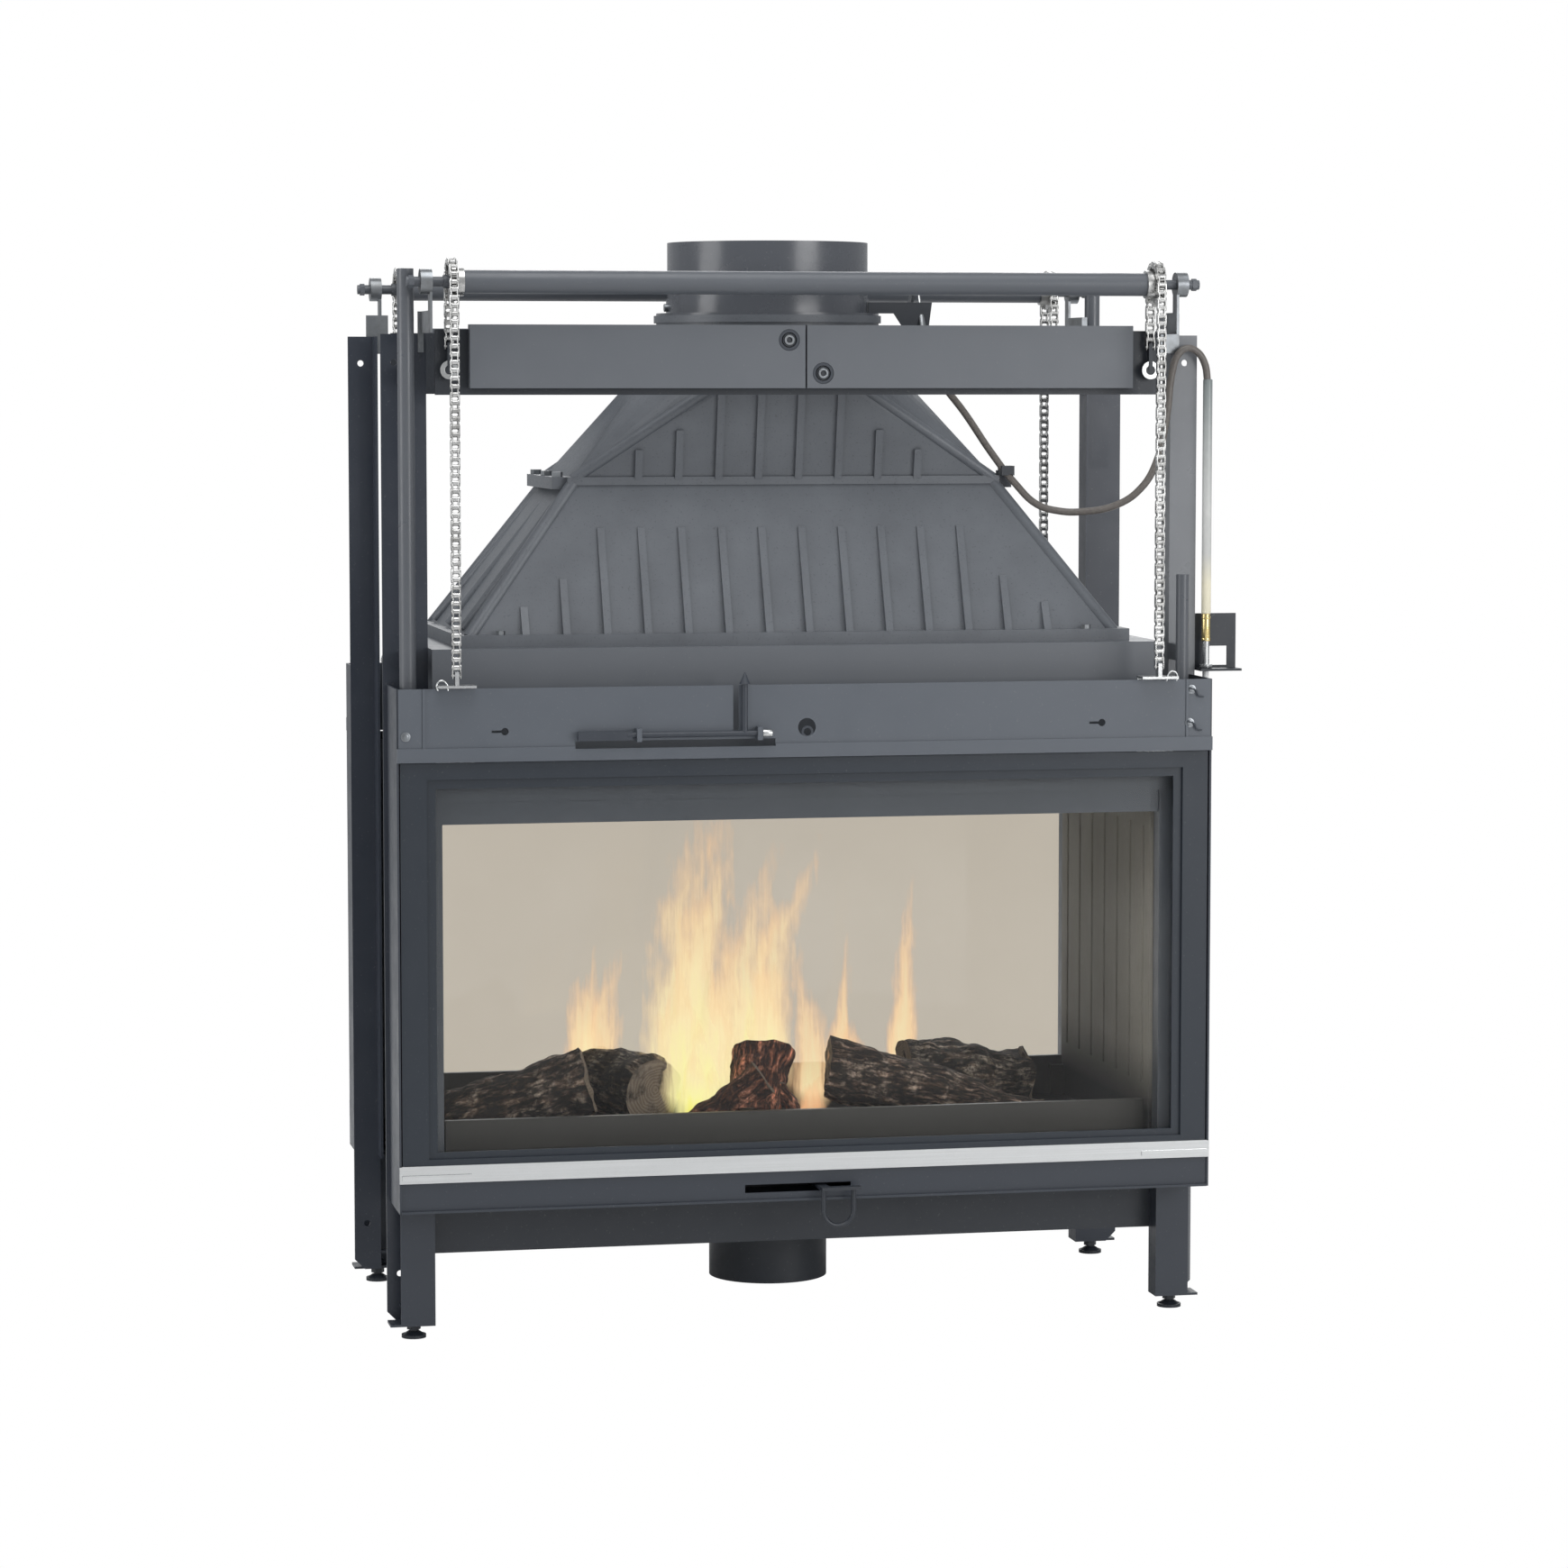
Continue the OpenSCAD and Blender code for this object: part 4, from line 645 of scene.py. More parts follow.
def buildFlame(tree, shader, place, look):
    # "lick" holds how far across a sheet a point is (-1 to 1), how high (0 to 1), and the warmth
    tree.nodes.remove(shader)
    seam = addNode(tree, "ShaderNodeAttribute", attribute_name="lick")
    across, rise, warmth = splitPlace(tree, seam.outputs["Vector"])
    broad = noiseField(tree, stretched(tree, place, look["broad"]), *look["broadNoise"])
    thin = noiseField(tree, stretched(tree, place, look["thin"]), *look["thinNoise"])
    sway = calc(tree, "SUBTRACT", broad, 0.5)
    streak = times(tree, calc(tree, "SUBTRACT", thin, 0.5), look["streakShare"])
    reach = calc(tree, "ADD", times(tree, rise, look["swayTop"]), look["swayFoot"])
    bent = calc(tree, "ABSOLUTE", calc(tree, "ADD", across, times(tree, sway, reach)))
    core = calc(tree, "SUBTRACT", 1.0, calc(tree, "POWER", bent, look["edge"]))
    cool = times(tree, calc(tree, "POWER", rise, look["fade"]), look["fadeShare"])
    body = calc(tree, "ADD", calc(tree, "SUBTRACT", core, cool), streak)
    rounded = times(tree, times(tree, across, across), look["footRound"])
    foot = spread(tree, calc(tree, "SUBTRACT", rise, rounded), *look["footRange"])
    strength = times(tree, times(tree, spread(tree, body, *look["bodyRange"]), foot),
                     spread(tree, rise, *look["riseRange"]))
    lowHeat = times(tree, calc(tree, "SUBTRACT", 1.0, rise), times(tree, warmth, look["lowHeat"]))
    heat = calc(tree, "ADD", times(tree, body, look["bodyHeat"]), lowHeat)
    glow = addNode(tree, "ShaderNodeEmission")
    tree.links.new(colorSteps(tree, heat, look["colors"]), glow.inputs["Color"])
    glow.inputs["Strength"].default_value = look["strength"]
    clear = addNode(tree, "ShaderNodeBsdfTransparent")
    mixShaders(tree, strength, clear, glow, tree.nodes["Material Output"])


patternMaterial("ceramicGlass", buildGlass, glassLook)
patternMaterial("liningBoard", buildLining, liningLook)
patternMaterial("sealRope", buildRope, ropeLook)
patternMaterial("barkWood", buildBark, barkLook)
patternMaterial("sawnWood", buildSawnWood, sawnLook)
patternMaterial("emberBed", buildEmber, emberLook)
patternMaterial("conduitCover", buildMottled, conduitLook)
patternMaterial("sleeveTube", buildSleeve, sleeveLook)
patternMaterial("pullRod", buildMottled, rodLook)
patternMaterial("flameGlow", buildFlame, flameLook)
print("finishes are built")

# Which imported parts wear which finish
nodeFinish = {
    "slatePaint": ["firebox_casing", "front_weight_bars", "rear_weight_bars"],
    "lintelPaint": ["front_lintel", "rear_lintel"],
    "shaftPaint": ["front_shaft", "rear_shaft"],
    "railPaint": ["front_surround", "rear_surround", "front_left_leg", "front_right_leg",
                  "rear_left_leg", "rear_right_leg", "vent_lever"],
    "postPaint": ["front_left_post", "rear_left_post", "rear_right_post"],
    # the front right post wears the lighter copy of the post paint: painted light
    "postPaintPaintedLight": ["front_right_post"],
    "tubePaint": ["guide_tubes"],
    "doorPaint": ["front_door_frame", "rear_door_frame"],
    "boxPaint": ["base_box", "air_duct", "levelling_feet", "front_weight_carrier",
                 "rear_weight_carrier", "air_shutter", "cable_bracket", "cable_clips"],
    "innerPaint": ["front_opening_frame", "rear_opening_frame"],
    "guardPaint": ["log_guards"],
    "collarPaint": ["flue_collar"],
    "hoodIron": ["lower_hood", "upper_hood"],
    "hearthIron": ["hearth_plate"],
    "stainless": ["front_trim_bar", "rear_trim_bar"],
    "hangerSteel": ["front_hangers", "rear_hangers", "damper_wire"],
    "zinc": ["hood_bolts", "front_bearings", "rear_bearings", "flue_damper"],
    "chainSteel": ["front_left_chain", "front_right_chain", "rear_left_chain",
                   "rear_right_chain", "front_sprockets", "rear_sprockets"],
    "ceramicGlass": ["front_glass", "rear_glass"],
    "sealRope": ["front_seal", "rear_seal"],
    "liningBoard": ["left_lining", "right_lining"],
    "barkWood": ["firewood"],
    "conduitCover": ["control_cable"],
    "pullRod": ["damper_rod"],
}
for finish, names in nodeFinish.items():
    for name in names:
        for slot in nodes[name].material_slots:
            slot.material = finishes[finish]
print("packed parts are finished")

# The chains: up from the door, round the sprocket, down to the weights
chainSizes = {
    "pitch": 0.009525, "teeth": 16,
    "doorLinks": 49, "wrapLinks": 8, "weightLinks": 8,
    "doorRun": 0.278, "sideways": 0.434,        # how far before and beside the middle it hangs
    "shaftHeight": 1.281, "doorEnd": 0.8143, "weightEnd": 1.2048,
    "lift": 0.4191, "besideSprocket": 3,        # links that stay straight beside the sprocket
    "plateRadius": 0.0041, "plateThick": 0.0013, "plateRim": 0.0003,
    "rollerRadius": 0.0031, "innerHalf": 0.0029, "sides": 14,
    "pinRadius": 0.0016, "pinOut": 0.0005, "pinRim": 0.0003, "pinSides": 10,
}
pitch = chainSizes["pitch"]
pitchRadius = pitch / (2 * math.sin(math.pi / chainSizes["teeth"]))
weightRun = chainSizes["doorRun"] - 2 * pitchRadius
wrapStart = chainSizes["doorLinks"]
wrapEnd = wrapStart + chainSizes["wrapLinks"]
chainEnd = wrapEnd + chainSizes["weightLinks"]
foldLinks = wrapStart - chainSizes["besideSprocket"]    # the door run ends here; the links beside the sprocket go with the wrap


def addCylinder(radius, depth, place, axis, sides, rim=0.0):
    turns = {"X": (0, math.pi / 2, 0), "Y": (math.pi / 2, 0, 0), "Z": (0, 0, 0)}
    deselectAll()
    bpy.ops.mesh.primitive_cylinder_add(vertices=sides, radius=radius, depth=depth,
                                        location=place, rotation=turns[axis])
    piece = bpy.context.object
    applyPlace(piece)
    if rim:
        roundEdges(piece, rim)
    return piece


def linkPlate(sideways):
    # two round lobes and the skin that is drawn over both
    lobes = [addCylinder(chainSizes["plateRadius"], chainSizes["plateThick"], (sideways, 0, reach),
                         "X", chainSizes["sides"]) for reach in (0, pitch)]
    plate = joinPieces(lobes, "linkPlate")
    bpy.ops.object.mode_set(mode="EDIT")
    bpy.ops.mesh.select_all(action="SELECT")
    bpy.ops.mesh.convex_hull()
    bpy.ops.mesh.dissolve_limited(angle_limit=math.radians(2))
    bpy.ops.object.mode_set(mode="OBJECT")
    roundEdges(plate, chainSizes["plateRim"], 1)
    return plate


def chainLink(outer):
    # an inner link's plates lie against the rollers, an outer link's plates outside those
    thick, inner = chainSizes["plateThick"], chainSizes["innerHalf"]
    step = inner + thick * (1.5 if outer else 0.5)
    pieces = [linkPlate(step), linkPlate(-step)]
    for reach in (0, pitch):
        if outer:
            half = inner + 2 * thick + chainSizes["pinOut"]
            pieces.append(addCylinder(chainSizes["pinRadius"], 2 * half, (0, 0, reach), "X",
                                      chainSizes["pinSides"], chainSizes["pinRim"]))
        else:
            pieces.append(addCylinder(chainSizes["rollerRadius"], 2 * inner, (0, 0, reach), "X",
                                      chainSizes["sides"]))
    return joinPieces(pieces, "outerLink" if outer else "innerLink")


def rollerPlace(index):
    shaftHeight, doorRun = chainSizes["shaftHeight"], chainSizes["doorRun"]
    if index <= wrapStart:
        return Vector((0, -doorRun, shaftHeight - (wrapStart - index) * pitch))
    if index <= wrapEnd:
        angle = (index - wrapStart) * 2 * math.pi / chainSizes["teeth"]
        return Vector((0, -doorRun + pitchRadius - pitchRadius * math.cos(angle),
                       shaftHeight + pitchRadius * math.sin(angle)))
    return Vector((0, -weightRun, shaftHeight - (index - wrapEnd) * pitch))


linkKinds = [chainLink(True), chainLink(False)]


def chainRun(first, last, name, sideways):
    links = []
    for index in range(first, last):
        start = rollerPlace(index)
        heading = rollerPlace(index + 1) - start
        link = copyPiece(linkKinds[index % 2], "link")
        turn = Matrix.Rotation(-math.atan2(heading.y, heading.z), 4, "X")
        link.data.transform(Matrix.Translation(start + Vector((sideways, 0, 0))) @ turn)
        links.append(link)
    return joinPieces(links, name)


runs = {"doorRun": (0, foldLinks), "wrap": (foldLinks, wrapEnd), "weightRun": (wrapEnd, chainEnd)}
for side, halfTurn in (("front", 0), ("rear", math.pi)):
    for hand, sign in (("left", -1), ("right", 1)):
        for runName, (first, last) in runs.items():
            ahead = sign if side == "front" else -sign
            run = chainRun(first, last, f"{side}_{hand}_{runName}", ahead * chainSizes["sideways"])
            run.data.transform(axisShift @ Matrix.Rotation(halfTurn, 4, "Z"))
            run.data.materials.clear()
            run.data.materials.append(finishes["chainSteel"])
            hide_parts(f"{side}_{hand}_chain")
            if runName == "doorRun":
                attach(run, "frame")
                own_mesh(run)
            elif runName == "weightRun":
                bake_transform(run, "frame", f"{side}_weight",
                         start=(0, 0, chainSizes["shaftHeight"] - pitch),
                         end=(0, 0, chainSizes["weightEnd"]))
            else:
                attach(run, "frame")
for kind in linkKinds:
    bpy.data.objects.remove(kind)
print("chains are made")

# Firewood: a root piece of three limbs, four logs and three sticks on the hearth
hearthTop = 0.2153
# A log's second-last value is how strongly painted firelight from the flames tints its bark.
logSizes = {
    "leftLog": {"length": 0.185, "radius": 0.038, "x": -0.335, "y": -0.07, "turn": -10,
                "tilt": -16, "knots": 3, "paintedFirelight": 0.1, "taper": 1.3},
    "middleLog": {"length": 0.14, "radius": 0.054, "x": -0.183, "y": 0.022, "turn": -66,
                  "tilt": 2, "knots": 8, "paintedFirelight": 0, "taper": 0.85},
    "rootTop": {"length": 0.1, "radius": 0.04, "x": -0.03, "y": -0.075, "turn": 70,
                "tilt": -52, "knots": 5, "paintedFirelight": 1, "taper": 1.15},
    "rootLeft": {"length": 0.12, "radius": 0.017, "x": -0.075, "y": -0.1, "turn": -12,
                 "tilt": -36, "knots": 12, "paintedFirelight": 0.8, "taper": 1.7},
    "rootRight": {"length": 0.09, "radius": 0.014, "x": 0.012, "y": -0.115, "turn": -60,
                  "tilt": 42, "knots": 14, "paintedFirelight": 0.9, "taper": 0.6},
    "splitLog": {"length": 0.28, "radius": 0.042, "x": 0.2, "y": -0.085, "turn": -10,
                 "tilt": 11, "knots": 2, "paintedFirelight": 0.15, "taper": 0.55},
    "rearLog": {"length": 0.165, "radius": 0.055, "x": 0.262, "y": 0.02, "turn": 4,
                "tilt": 3, "knots": 11, "paintedFirelight": 0.05, "taper": 0.95},
    "leftStick": {"length": 0.12, "radius": 0.016, "x": -0.16, "y": -0.095, "turn": 5,
                  "tilt": 0, "knots": 6, "paintedFirelight": 0, "taper": 0.8},
    "rightStick": {"length": 0.11, "radius": 0.016, "x": 0.082, "y": -0.138, "turn": -5,
                   "tilt": 0, "knots": 9, "paintedFirelight": 0.3, "taper": 0.8},
    "farStick": {"length": 0.12, "radius": 0.014, "x": -0.25, "y": -0.125, "turn": 3,
                 "tilt": 0, "knots": 15, "paintedFirelight": 0, "taper": 0.9},
}
woodSizes = {       # a share is a share of the log's radius
    "sides": 40, "rings": 26, "startShare": 0.9,
    "swell": 0.05, "swellTurn": 0.7, "uneven": 0.03, "swellPower": 0.1,     # wider and narrower
    "drift": 0.0012,                                        # how far a ring strays sideways
    "pithShare": 0.2, "barkStretch": 0.3, "seamStep": 0.31,     # for the bark and ring patterns
    "insets": 4, "insetShare": 0.18, "endFacing": 0.8,      # the sawn ends
    "lumpShare": 0.6, "lumpMiddle": 0.5, "lumpCloud": (0.09, 2),
    "barkShare": 0.3, "barkDepth": 0.012, "barkMiddle": 0.55, "barkCloud": (0.03, 5),
    "sunk": 0.001, "smooth": 60,
}


def addCloud(name, size, depth):
    cloud = bpy.data.textures.new(name, "CLOUDS")
    cloud.noise_scale = size
    cloud.noise_depth = depth
    return cloud


barkCloud = addCloud("barkCloud", *woodSizes["barkCloud"])
lumpCloud = addCloud("lumpCloud", *woodSizes["lumpCloud"])


def growStem(name, sizes):
    # one ring after another, each a little off and a little wider or narrower
    length, rings, drift = sizes["length"], woodSizes["rings"], woodSizes["drift"]
    chance = random.Random(sizes["knots"])
    deselectAll()
    bpy.ops.mesh.primitive_circle_add(vertices=woodSizes["sides"], fill_type="NGON",
                                      radius=sizes["radius"] * woodSizes["startShare"],
                                      location=(0, 0, -length / 2))
    log = bpy.context.object
    log.name = name
    bpy.ops.object.mode_set(mode="EDIT")
    bpy.ops.mesh.select_all(action="SELECT")
    for ring in range(rings):
        swell = (1 + woodSizes["swell"] * math.sin(ring * woodSizes["swellTurn"] + sizes["knots"])
                 + chance.uniform(-woodSizes["uneven"], woodSizes["uneven"]))
        bpy.ops.mesh.extrude_region_move(TRANSFORM_OT_translate={"value": (
            chance.uniform(-drift, drift), chance.uniform(-drift, drift), length / rings)})
        grow = swell ** woodSizes["swellPower"] * sizes["taper"] ** (1 / rings)
        bpy.ops.transform.resize(value=(grow, grow, 1))
    bpy.ops.mesh.select_all(action="SELECT")
    bpy.ops.mesh.normals_make_consistent(inside=False)
    bpy.ops.object.mode_set(mode="OBJECT")
    applyPlace(log)
    return log


def markGrain(log, sizes):
    # the bark and the sawn ends read these, so their pattern follows the log
    radius, fields = sizes["radius"], log.data.attributes
    for field, kind in (("along", "FLOAT_VECTOR"), ("rings", "FLOAT_VECTOR"), ("paintedFirelight", "FLOAT")):
        fields.new(field, kind, "POINT")
    along, rings, paintedFirelight = fields["along"], fields["rings"], fields["paintedFirelight"]
    for vertex in log.data.vertices:
        x, y, z = vertex.co
        angle = math.atan2(y, x)
        around = Vector((math.cos(angle), math.sin(angle), z * woodSizes["barkStretch"] / radius))
        along.data[vertex.index].vector = (
            around * radius + Vector((sizes["knots"] * woodSizes["seamStep"], 0, 0)))
        rings.data[vertex.index].vector = (x + radius * woodSizes["pithShare"], y, 0)
        # how strongly painted firelight tints this log
        paintedFirelight.data[vertex.index].value = sizes["paintedFirelight"]


def makeLog(name, sizes):
    length, radius = sizes["length"], sizes["radius"]
    log = growStem(name, sizes)
    markGrain(log, sizes)
    tilt = math.radians(sizes["tilt"])
    turn = Matrix.Rotation(math.radians(sizes["turn"]), 4, "Z") @ Matrix.Rotation(tilt, 4, "Y")
    lay = turn @ Matrix.Rotation(math.pi / 2, 4, "Y")
    rise = hearthTop + length / 2 * abs(math.sin(tilt)) + radius * math.cos(tilt)
    log.data.transform(Matrix.Translation((sizes["x"], sizes["y"], rise)) @ lay)
    makeActive(log)
    bpy.ops.object.mode_set(mode="EDIT")
    bpy.ops.mesh.select_all(action="DESELECT")
    bpy.ops.object.mode_set(mode="OBJECT")
    for face in log.data.polygons:
        face.select = len(face.vertices) == woodSizes["sides"]      # the two ends
    bpy.ops.object.mode_set(mode="EDIT")
    for inset in range(woodSizes["insets"]):
        bpy.ops.mesh.inset(thickness=radius * woodSizes["insetShare"])
    bpy.ops.object.mode_set(mode="OBJECT")
    applyModifier(log, "SUBSURF", levels=1, subdivision_type="SIMPLE")
    lengthways = (lay.to_3x3() @ Vector((0, 0, 1))).normalized()
    ends = [1 if abs(face.normal.dot(lengthways)) > woodSizes["endFacing"] else 0
            for face in log.data.polygons]
    applyModifier(log, "DISPLACE", texture=lumpCloud, texture_coords="LOCAL",
                  mid_level=woodSizes["lumpMiddle"], strength=radius * woodSizes["lumpShare"])
    applyModifier(log, "DISPLACE", texture=barkCloud, texture_coords="LOCAL",
                  mid_level=woodSizes["barkMiddle"],
                  strength=min(woodSizes["barkDepth"], radius * woodSizes["barkShare"]))
    low = min(vertex.co.z for vertex in log.data.vertices)
    log.data.transform(Matrix.Translation((0, 0, hearthTop - woodSizes["sunk"] - low)))
    smoothByAngle(log, woodSizes["smooth"])
    dress(log, "barkWood", "frame")
    log.data.materials.append(finishes["sawnWood"])
    for face, sawn in zip(log.data.polygons, ends):
        face.material_index = sawn
    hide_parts("firewood")


for name, sizes in logSizes.items():
    makeLog(name, sizes)
print("firewood is made")

# Ash and embers under the wood, thin towards the rim
bedSizes = {
    "length": 0.6, "depth": 0.2, "x": -0.03, "y": -0.03, "across": 90, "along": 34,
    "ashCloud": (0.018, 3), "lumpHeight": 0.02, "lumpMiddle": 0.2,
    "sunk": 0.003, "thickness": 0.004, "rimPower": 4,       # a higher power keeps it thick further out
}


def makeEmberBed():
    deselectAll()
    bpy.ops.mesh.primitive_grid_add(x_subdivisions=bedSizes["across"],
                                    y_subdivisions=bedSizes["along"], size=1,
                                    location=(bedSizes["x"], bedSizes["y"], hearthTop))
    bed = bpy.context.object
    bed.name = "emberBed"
    bed.scale = (bedSizes["length"], bedSizes["depth"], 1)
    applyPlace(bed)
    ashCloud = addCloud("ashCloud", *bedSizes["ashCloud"])
    applyModifier(bed, "DISPLACE", texture=ashCloud, texture_coords="LOCAL",
                  mid_level=bedSizes["lumpMiddle"], strength=bedSizes["lumpHeight"])
    for vertex in bed.data.vertices:
        across = (vertex.co.x - bedSizes["x"]) / (bedSizes["length"] / 2)
        along = (vertex.co.y - bedSizes["y"]) / (bedSizes["depth"] / 2)
        power = bedSizes["rimPower"]
        fade = max(0, 1 - across ** power) * max(0, 1 - along ** power)
        lump = max(vertex.co.z, hearthTop) - hearthTop + bedSizes["thickness"]
        vertex.co.z = hearthTop - bedSizes["sunk"] + lump * fade
    smoothByAngle(bed, woodSizes["smooth"])
    dress(bed, "emberBed", "frame")
    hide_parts("firewood")


makeEmberBed()
print("embers are made")

# Flames: thin upright sheets whose outline comes from the material
flameSheet = {"across": 8, "up": 24, "footShare": 0.62, "narrower": 0.14, "ripple": 0.006}
flames = [
    # foot x, y, z, tip x, tip z, width, bow, shape number, warmth
    (-0.112, -0.02, 0.25, -0.085, 0.635, 0.105, -0.014, 1, 0.9),
    (-0.092, -0.028, 0.245, -0.054, 0.635, 0.085, -0.02, 2, 0.85),
    (-0.075, -0.012, 0.25, -0.035, 0.52, 0.1, 0.0, 3, 0.7),
    (-0.04, -0.02, 0.25, 0.008, 0.585, 0.1, -0.012, 4, 0.8),
    (-0.002, -0.01, 0.26, 0.068, 0.59, 0.07, -0.026, 11, 0.75),
    (-0.108, -0.035, 0.232, -0.118, 0.45, 0.07, -0.006, 5, 1.4),
    (-0.086, -0.036, 0.232, -0.07, 0.42, 0.07, 0.0, 12, 1.4),
    (-0.02, -0.03, 0.25, -0.004, 0.45, 0.085, 0.004, 13, 1.0),
    (-0.228, 0.065, 0.27, -0.212, 0.445, 0.05, -0.006, 6, 0.3),
    (-0.218, 0.068, 0.27, -0.18, 0.44, 0.065, -0.004, 7, 0.3),
    (0.188, 0.065, 0.25, 0.206, 0.535, 0.036, -0.003, 8, 0.1),
    (0.1, 0.06, 0.26, 0.12, 0.455, 0.028, 0.002, 9, 0.1),
    (0.07, 0.05, 0.222, 0.046, 0.445, 0.06, 0.006, 10, 0.2),
    (-0.102, -0.055, 0.214, -0.104, 0.33, 0.058, 0, 14, 2.2),
    (-0.083, -0.075, 0.22, -0.088, 0.31, 0.036, 0, 15, 2.5),
    (0.034, -0.07, 0.228, 0.052, 0.292, 0.05, 0, 16, -1.3),
    (0.092, -0.066, 0.29, 0.082, 0.36, 0.05, 0, 17, -0.4),
]


def makeFlame(x, y, base, tipX, tipZ, width, bow, shape, warmth):
    deselectAll()
    bpy.ops.mesh.primitive_grid_add(x_subdivisions=flameSheet["across"],
                                    y_subdivisions=flameSheet["up"], size=1)
    flame = bpy.context.object
    flame.name = f"flame{shape}"
    seam = flame.data.attributes.new("lick", "FLOAT_VECTOR", "POINT")
    for vertex in flame.data.vertices:
        across, rise = vertex.co.x * 2, vertex.co.y + 0.5
        seam.data[vertex.index].vector = (across, rise, warmth)
        middle = x + (tipX - x) * rise + bow * math.sin(math.pi * rise)
        share = flameSheet["footShare"] - flameSheet["narrower"] * rise
        ripple = flameSheet["ripple"] * math.sin(across * 2 + rise * 5 + shape)
        vertex.co = (middle + across * width * share, y + ripple, base + rise * (tipZ - base))
    dress(flame, "flameGlow", "frame")


for flame in flames:
    makeFlame(*flame)
print("flames are made")

# The control cable in its conduit, with the sleeve, the brass fitting and the nut
cableSizes = {
    "conduit": 0.0045, "bevelSteps": 3, "curveSteps": 6,
    "ferrule": 0.005, "ferruleRun": [(0.188, -0.045, 1.2461), (0.188, -0.0723, 1.1916)],
    "sleeve": 0.0059, "sleeveX": 0.521, "sleeveY": -0.187, "sleeveLow": 0.874, "sleeveTop": 1.166,
    "sleeveRim": 0.0015,
}
cableRoute = [
    (0.188, -0.0696, 1.1969), (0.206, -0.071, 1.165), (0.236, -0.08, 1.124), (0.266, -0.1, 1.074),
    (0.292, -0.1186, 1.036), (0.318, -0.127, 1.01), (0.343, -0.136, 1.002), (0.371, -0.145, 1.001),
    (0.413, -0.16, 1.01), (0.44, -0.17, 1.03), (0.457, -0.177, 1.06), (0.469, -0.184, 1.12),
    (0.475, -0.187, 1.175), (0.482, -0.188, 1.196), (0.493, -0.188, 1.204), (0.505, -0.188, 1.201),
    (0.516, -0.1873, 1.187), (0.521, -0.187, 1.16)]


def addTube(points, radius, name):
    deselectAll()
    bpy.ops.curve.primitive_bezier_curve_add(location=(0, 0, 0))
    tube = bpy.context.object
    tube.data.bevel_depth = radius
    tube.data.bevel_resolution = cableSizes["bevelSteps"]
    tube.data.resolution_u = cableSizes["curveSteps"]
    tube.data.use_fill_caps = True
    run = tube.data.splines[0]
    run.bezier_points.add(len(points) - 2)
    for corner, place in zip(run.bezier_points, points):
        corner.co = place
        corner.handle_left_type = corner.handle_right_type = "AUTO"
    bpy.ops.object.convert(target="MESH")
    tube = bpy.context.object
    tube.name = name
    smoothByAngle(tube)
    return tube


def dressCable(piece, finish):
    dress(piece, finish, "frame")
    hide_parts("control_cable")


def onSleeve(radius, length, height, sides, rim):
    # all that follows stands on the sleeve's own upright axis; height is that of its middle
    place = (cableSizes["sleeveX"], cableSizes["sleeveY"], height)
    return addCylinder(radius, length, place, "Z", sides, rim)


dressCable(addTube(cableRoute, cableSizes["conduit"], "conduit"), "conduitCover")
dressCable(addTube(cableSizes["ferruleRun"], cableSizes["ferrule"], "ferrule"), "zinc")
sleeveLength = cableSizes["sleeveTop"] - cableSizes["sleeveLow"]
sleeve = onSleeve(cableSizes["sleeve"], sleeveLength, cableSizes["sleeveLow"] + sleeveLength / 2,
                  28, cableSizes["sleeveRim"])
sleeve.name = "sleeve"
smoothByAngle(sleeve)
dressCable(sleeve, "sleeveTube")

# radius, length, height, sides and rim of the brass barrel and its two lips
fittingParts = [(0.0054, 0.034, 0.857, 28, 0.0006), (0.0059, 0.004, 0.842, 28, 0.0006),
                (0.0059, 0.003, 0.869, 28, 0.0006)]
fitting = joinPieces([onSleeve(*part) for part in fittingParts], "brassFitting")
smoothByAngle(fitting)
dressCable(fitting, "brass")

# the thread's crests, then the same values for its core and for the nut
crest = {"turns": 12, "lead": 0.0022, "low": 0.8135, "radius": 0.0046, "thick": 0.0012}
thread = [onSleeve(crest["radius"], crest["thick"], crest["low"] + crest["lead"] * turn, 20, 0.0004)
          for turn in range(crest["turns"])]
threadParts = [(0.0042, 0.034, 0.8265, 20, 0), (0.0086, 0.005, 0.8088, 6, 0.0006)]
thread += [onSleeve(*part) for part in threadParts]
thread = joinPieces(thread, "threadedEnd")
smoothByAngle(thread)
dressCable(thread, "hangerSteel")
print("control cable is made")


# Small hardware. A ring is (outer radius, bore radius, thickness).
ringSizes = {"sides": 32, "boreSides": 24, "boreLength": 3, "rim": 0.2}     # both in thicknesses


def addRing(ring, place, name):
    outer, inner, thick = ring
    piece = addCylinder(outer, thick, place, "Y", ringSizes["sides"])
    bore = addCylinder(inner, thick * ringSizes["boreLength"], place, "Y", ringSizes["boreSides"])
    applyModifier(piece, "BOOLEAN", operation="DIFFERENCE", object=bore)
    bpy.data.objects.remove(bore)
    roundEdges(piece, thick * ringSizes["rim"])
    piece.name = name
    return piece


def dressSides(piece, finish, part):
    # the rear one is the front one turned half a turn
    twin = copyPiece(piece, piece.name + "Rear")
    twin.data.transform(Matrix.Rotation(math.pi, 4, "Z"))
    dress(piece, finish, "frame" if part == "frame" else "front_" + part)
    dress(twin, finish, "frame" if part == "frame" else "rear_" + part)


# two socket screws in cups hold the weight bars together, one higher than the other
screwSizes = {
    "x": 0.021, "z": 1.193, "stagger": 0.02,
    "cup": (0.0128, 0.0092, 0.0022), "cupY": -0.2361,
    "head": (0.0062, 0.0034, 0.003), "headY": -0.237,
}
for side in (-1, 1):
    x, z = side * screwSizes["x"], screwSizes["z"] - side * screwSizes["stagger"]
    cup = addRing(screwSizes["cup"], (x, screwSizes["cupY"], z), "screwCup")
    dressSides(cup, "railPaint", "weight")
    socket = addRing(screwSizes["head"], (x, screwSizes["headY"], z), "socketHead")
    dressSides(socket, "zinc", "weight")

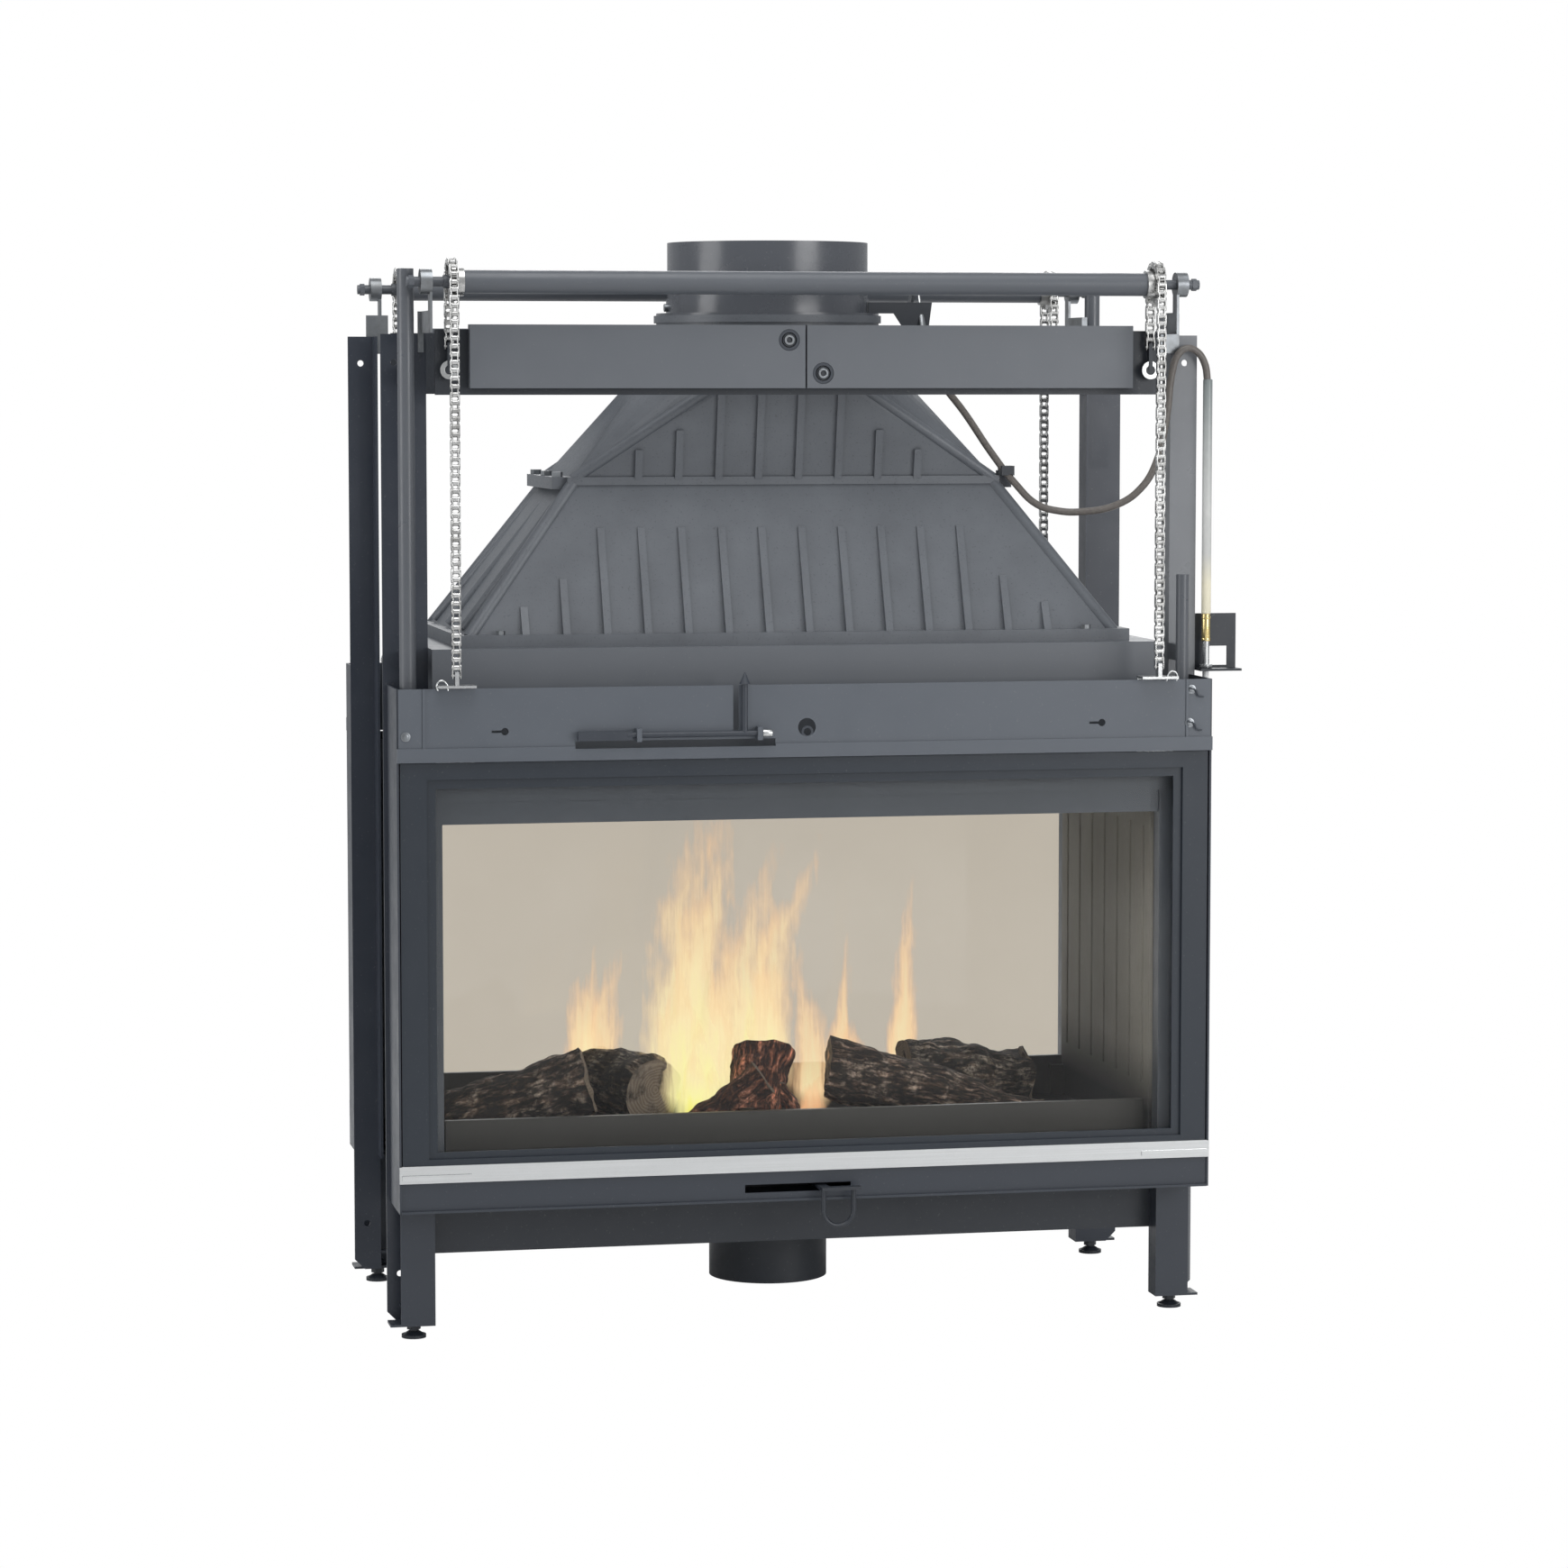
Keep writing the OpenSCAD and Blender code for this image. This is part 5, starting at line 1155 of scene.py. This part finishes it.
# washers round the eyes where the chains end
eyeSizes = {"ring": (0.0112, 0.0056, 0.0016), "x": 0.434, "y": -0.2315, "z": 1.1768}
for side in (-1, 1):
    place = (side * eyeSizes["x"], eyeSizes["y"], eyeSizes["z"])
    washer = addRing(eyeSizes["ring"], place, "eyeWasher")
    dressSides(washer, "hangerSteel", "weight")

# screws with washers at the lintel's ends, wire hooks beside the two right ones, and the
# plug in its round hole
lintelSizes = {
    "left": [(-0.4945, 0.7413)], "right": [(0.4778, 0.7853), (0.4758, 0.7442)],
    "washer": (0.0058, 0.002, 0.0008), "washerY": -0.2706,
    "head": 0.0036, "headThick": 0.0022, "headY": -0.2716, "headRim": 0.0008,
    "hook": 0.0011, "hookRun": [(-0.003, -0.2725, 0.002), (0.005, -0.2728, -0.001),
                                (0.009, -0.2728, -0.008), (0.015, -0.2728, -0.009)],
    "plug": (0.0075, 0.0045, 0.0015), "plugPlace": (-0.0054, -0.2692, 0.7403),
}
for x, z in lintelSizes["left"] + lintelSizes["right"]:
    washer = addRing(lintelSizes["washer"], (x, lintelSizes["washerY"], z), "washer")
    head = addCylinder(lintelSizes["head"], lintelSizes["headThick"], (x, lintelSizes["headY"], z),
                       "Y", 20, lintelSizes["headRim"])
    screw = joinPieces([washer, head], "lintelScrew")
    smoothByAngle(screw)
    dressSides(screw, "zinc", "frame")
for x, z in lintelSizes["right"]:
    hook = addTube([(x + across, y, z + up) for across, y, up in lintelSizes["hookRun"]],
                   lintelSizes["hook"], "lintelHook")
    dressSides(hook, "railPaint", "frame")
roundPlug = addRing(lintelSizes["plug"], lintelSizes["plugPlace"], "roundPlug")
dressSides(roundPlug, "railPaint", "frame")

# flat clips with a pin, one towards each end of the bright bar under the door
clipSizes = {
    "spans": [(-0.5, -0.416, 0.2125), (0.417, 0.5, 0.2095)],        # from x, to x, height
    "thick": 0.0012, "tall": 0.0036, "y": -0.2666, "rim": 0.0004,
    "pin": 0.0022, "pinThick": 0.0016, "pinY": -0.2672, "pinIn": 0.004,
}
for low, high, level in clipSizes["spans"]:
    deselectAll()
    bpy.ops.mesh.primitive_cube_add(size=1, location=((low + high) / 2, clipSizes["y"], level),
                                    scale=(high - low, clipSizes["thick"], clipSizes["tall"]))
    bar = bpy.context.object
    applyPlace(bar)
    roundEdges(bar, clipSizes["rim"])
    pinX = low + clipSizes["pinIn"] if low > 0 else high - clipSizes["pinIn"]
    pin = addCylinder(clipSizes["pin"], clipSizes["pinThick"], (pinX, clipSizes["pinY"], level),
                      "Y", 16, clipSizes["rim"])
    clip = joinPieces([bar, pin], "trimClip")
    dressSides(clip, "zinc", "door")

# wire loops that lock the chains' end pins in the hangers' lugs
loopSizes = {
    "radius": 0.001, "y": -0.2775,
    "run": [(0.444, 0.7965), (0.4465, 0.8055), (0.4525, 0.8085), (0.4575, 0.8035), (0.4565, 0.7965)],
}
for side in (-1, 1):
    loop = addTube([(side * x, loopSizes["y"], z) for x, z in loopSizes["run"]],
                   loopSizes["radius"], "wireLoop")
    dressSides(loop, "hangerSteel", "door")

# a bright cap on the right end of the vent lever's rod
capSizes = {"radius": 0.0046, "length": 0.012, "rim": 0.001, "place": (-0.0565, -0.277, 0.74)}
cap = addCylinder(capSizes["radius"], capSizes["length"], capSizes["place"], "X", 24, capSizes["rim"])
cap.name = "leverCap"
smoothByAngle(cap)
dress(cap, "hangerSteel", "vent_lever")
print("small hardware is made")

print("scene is complete")
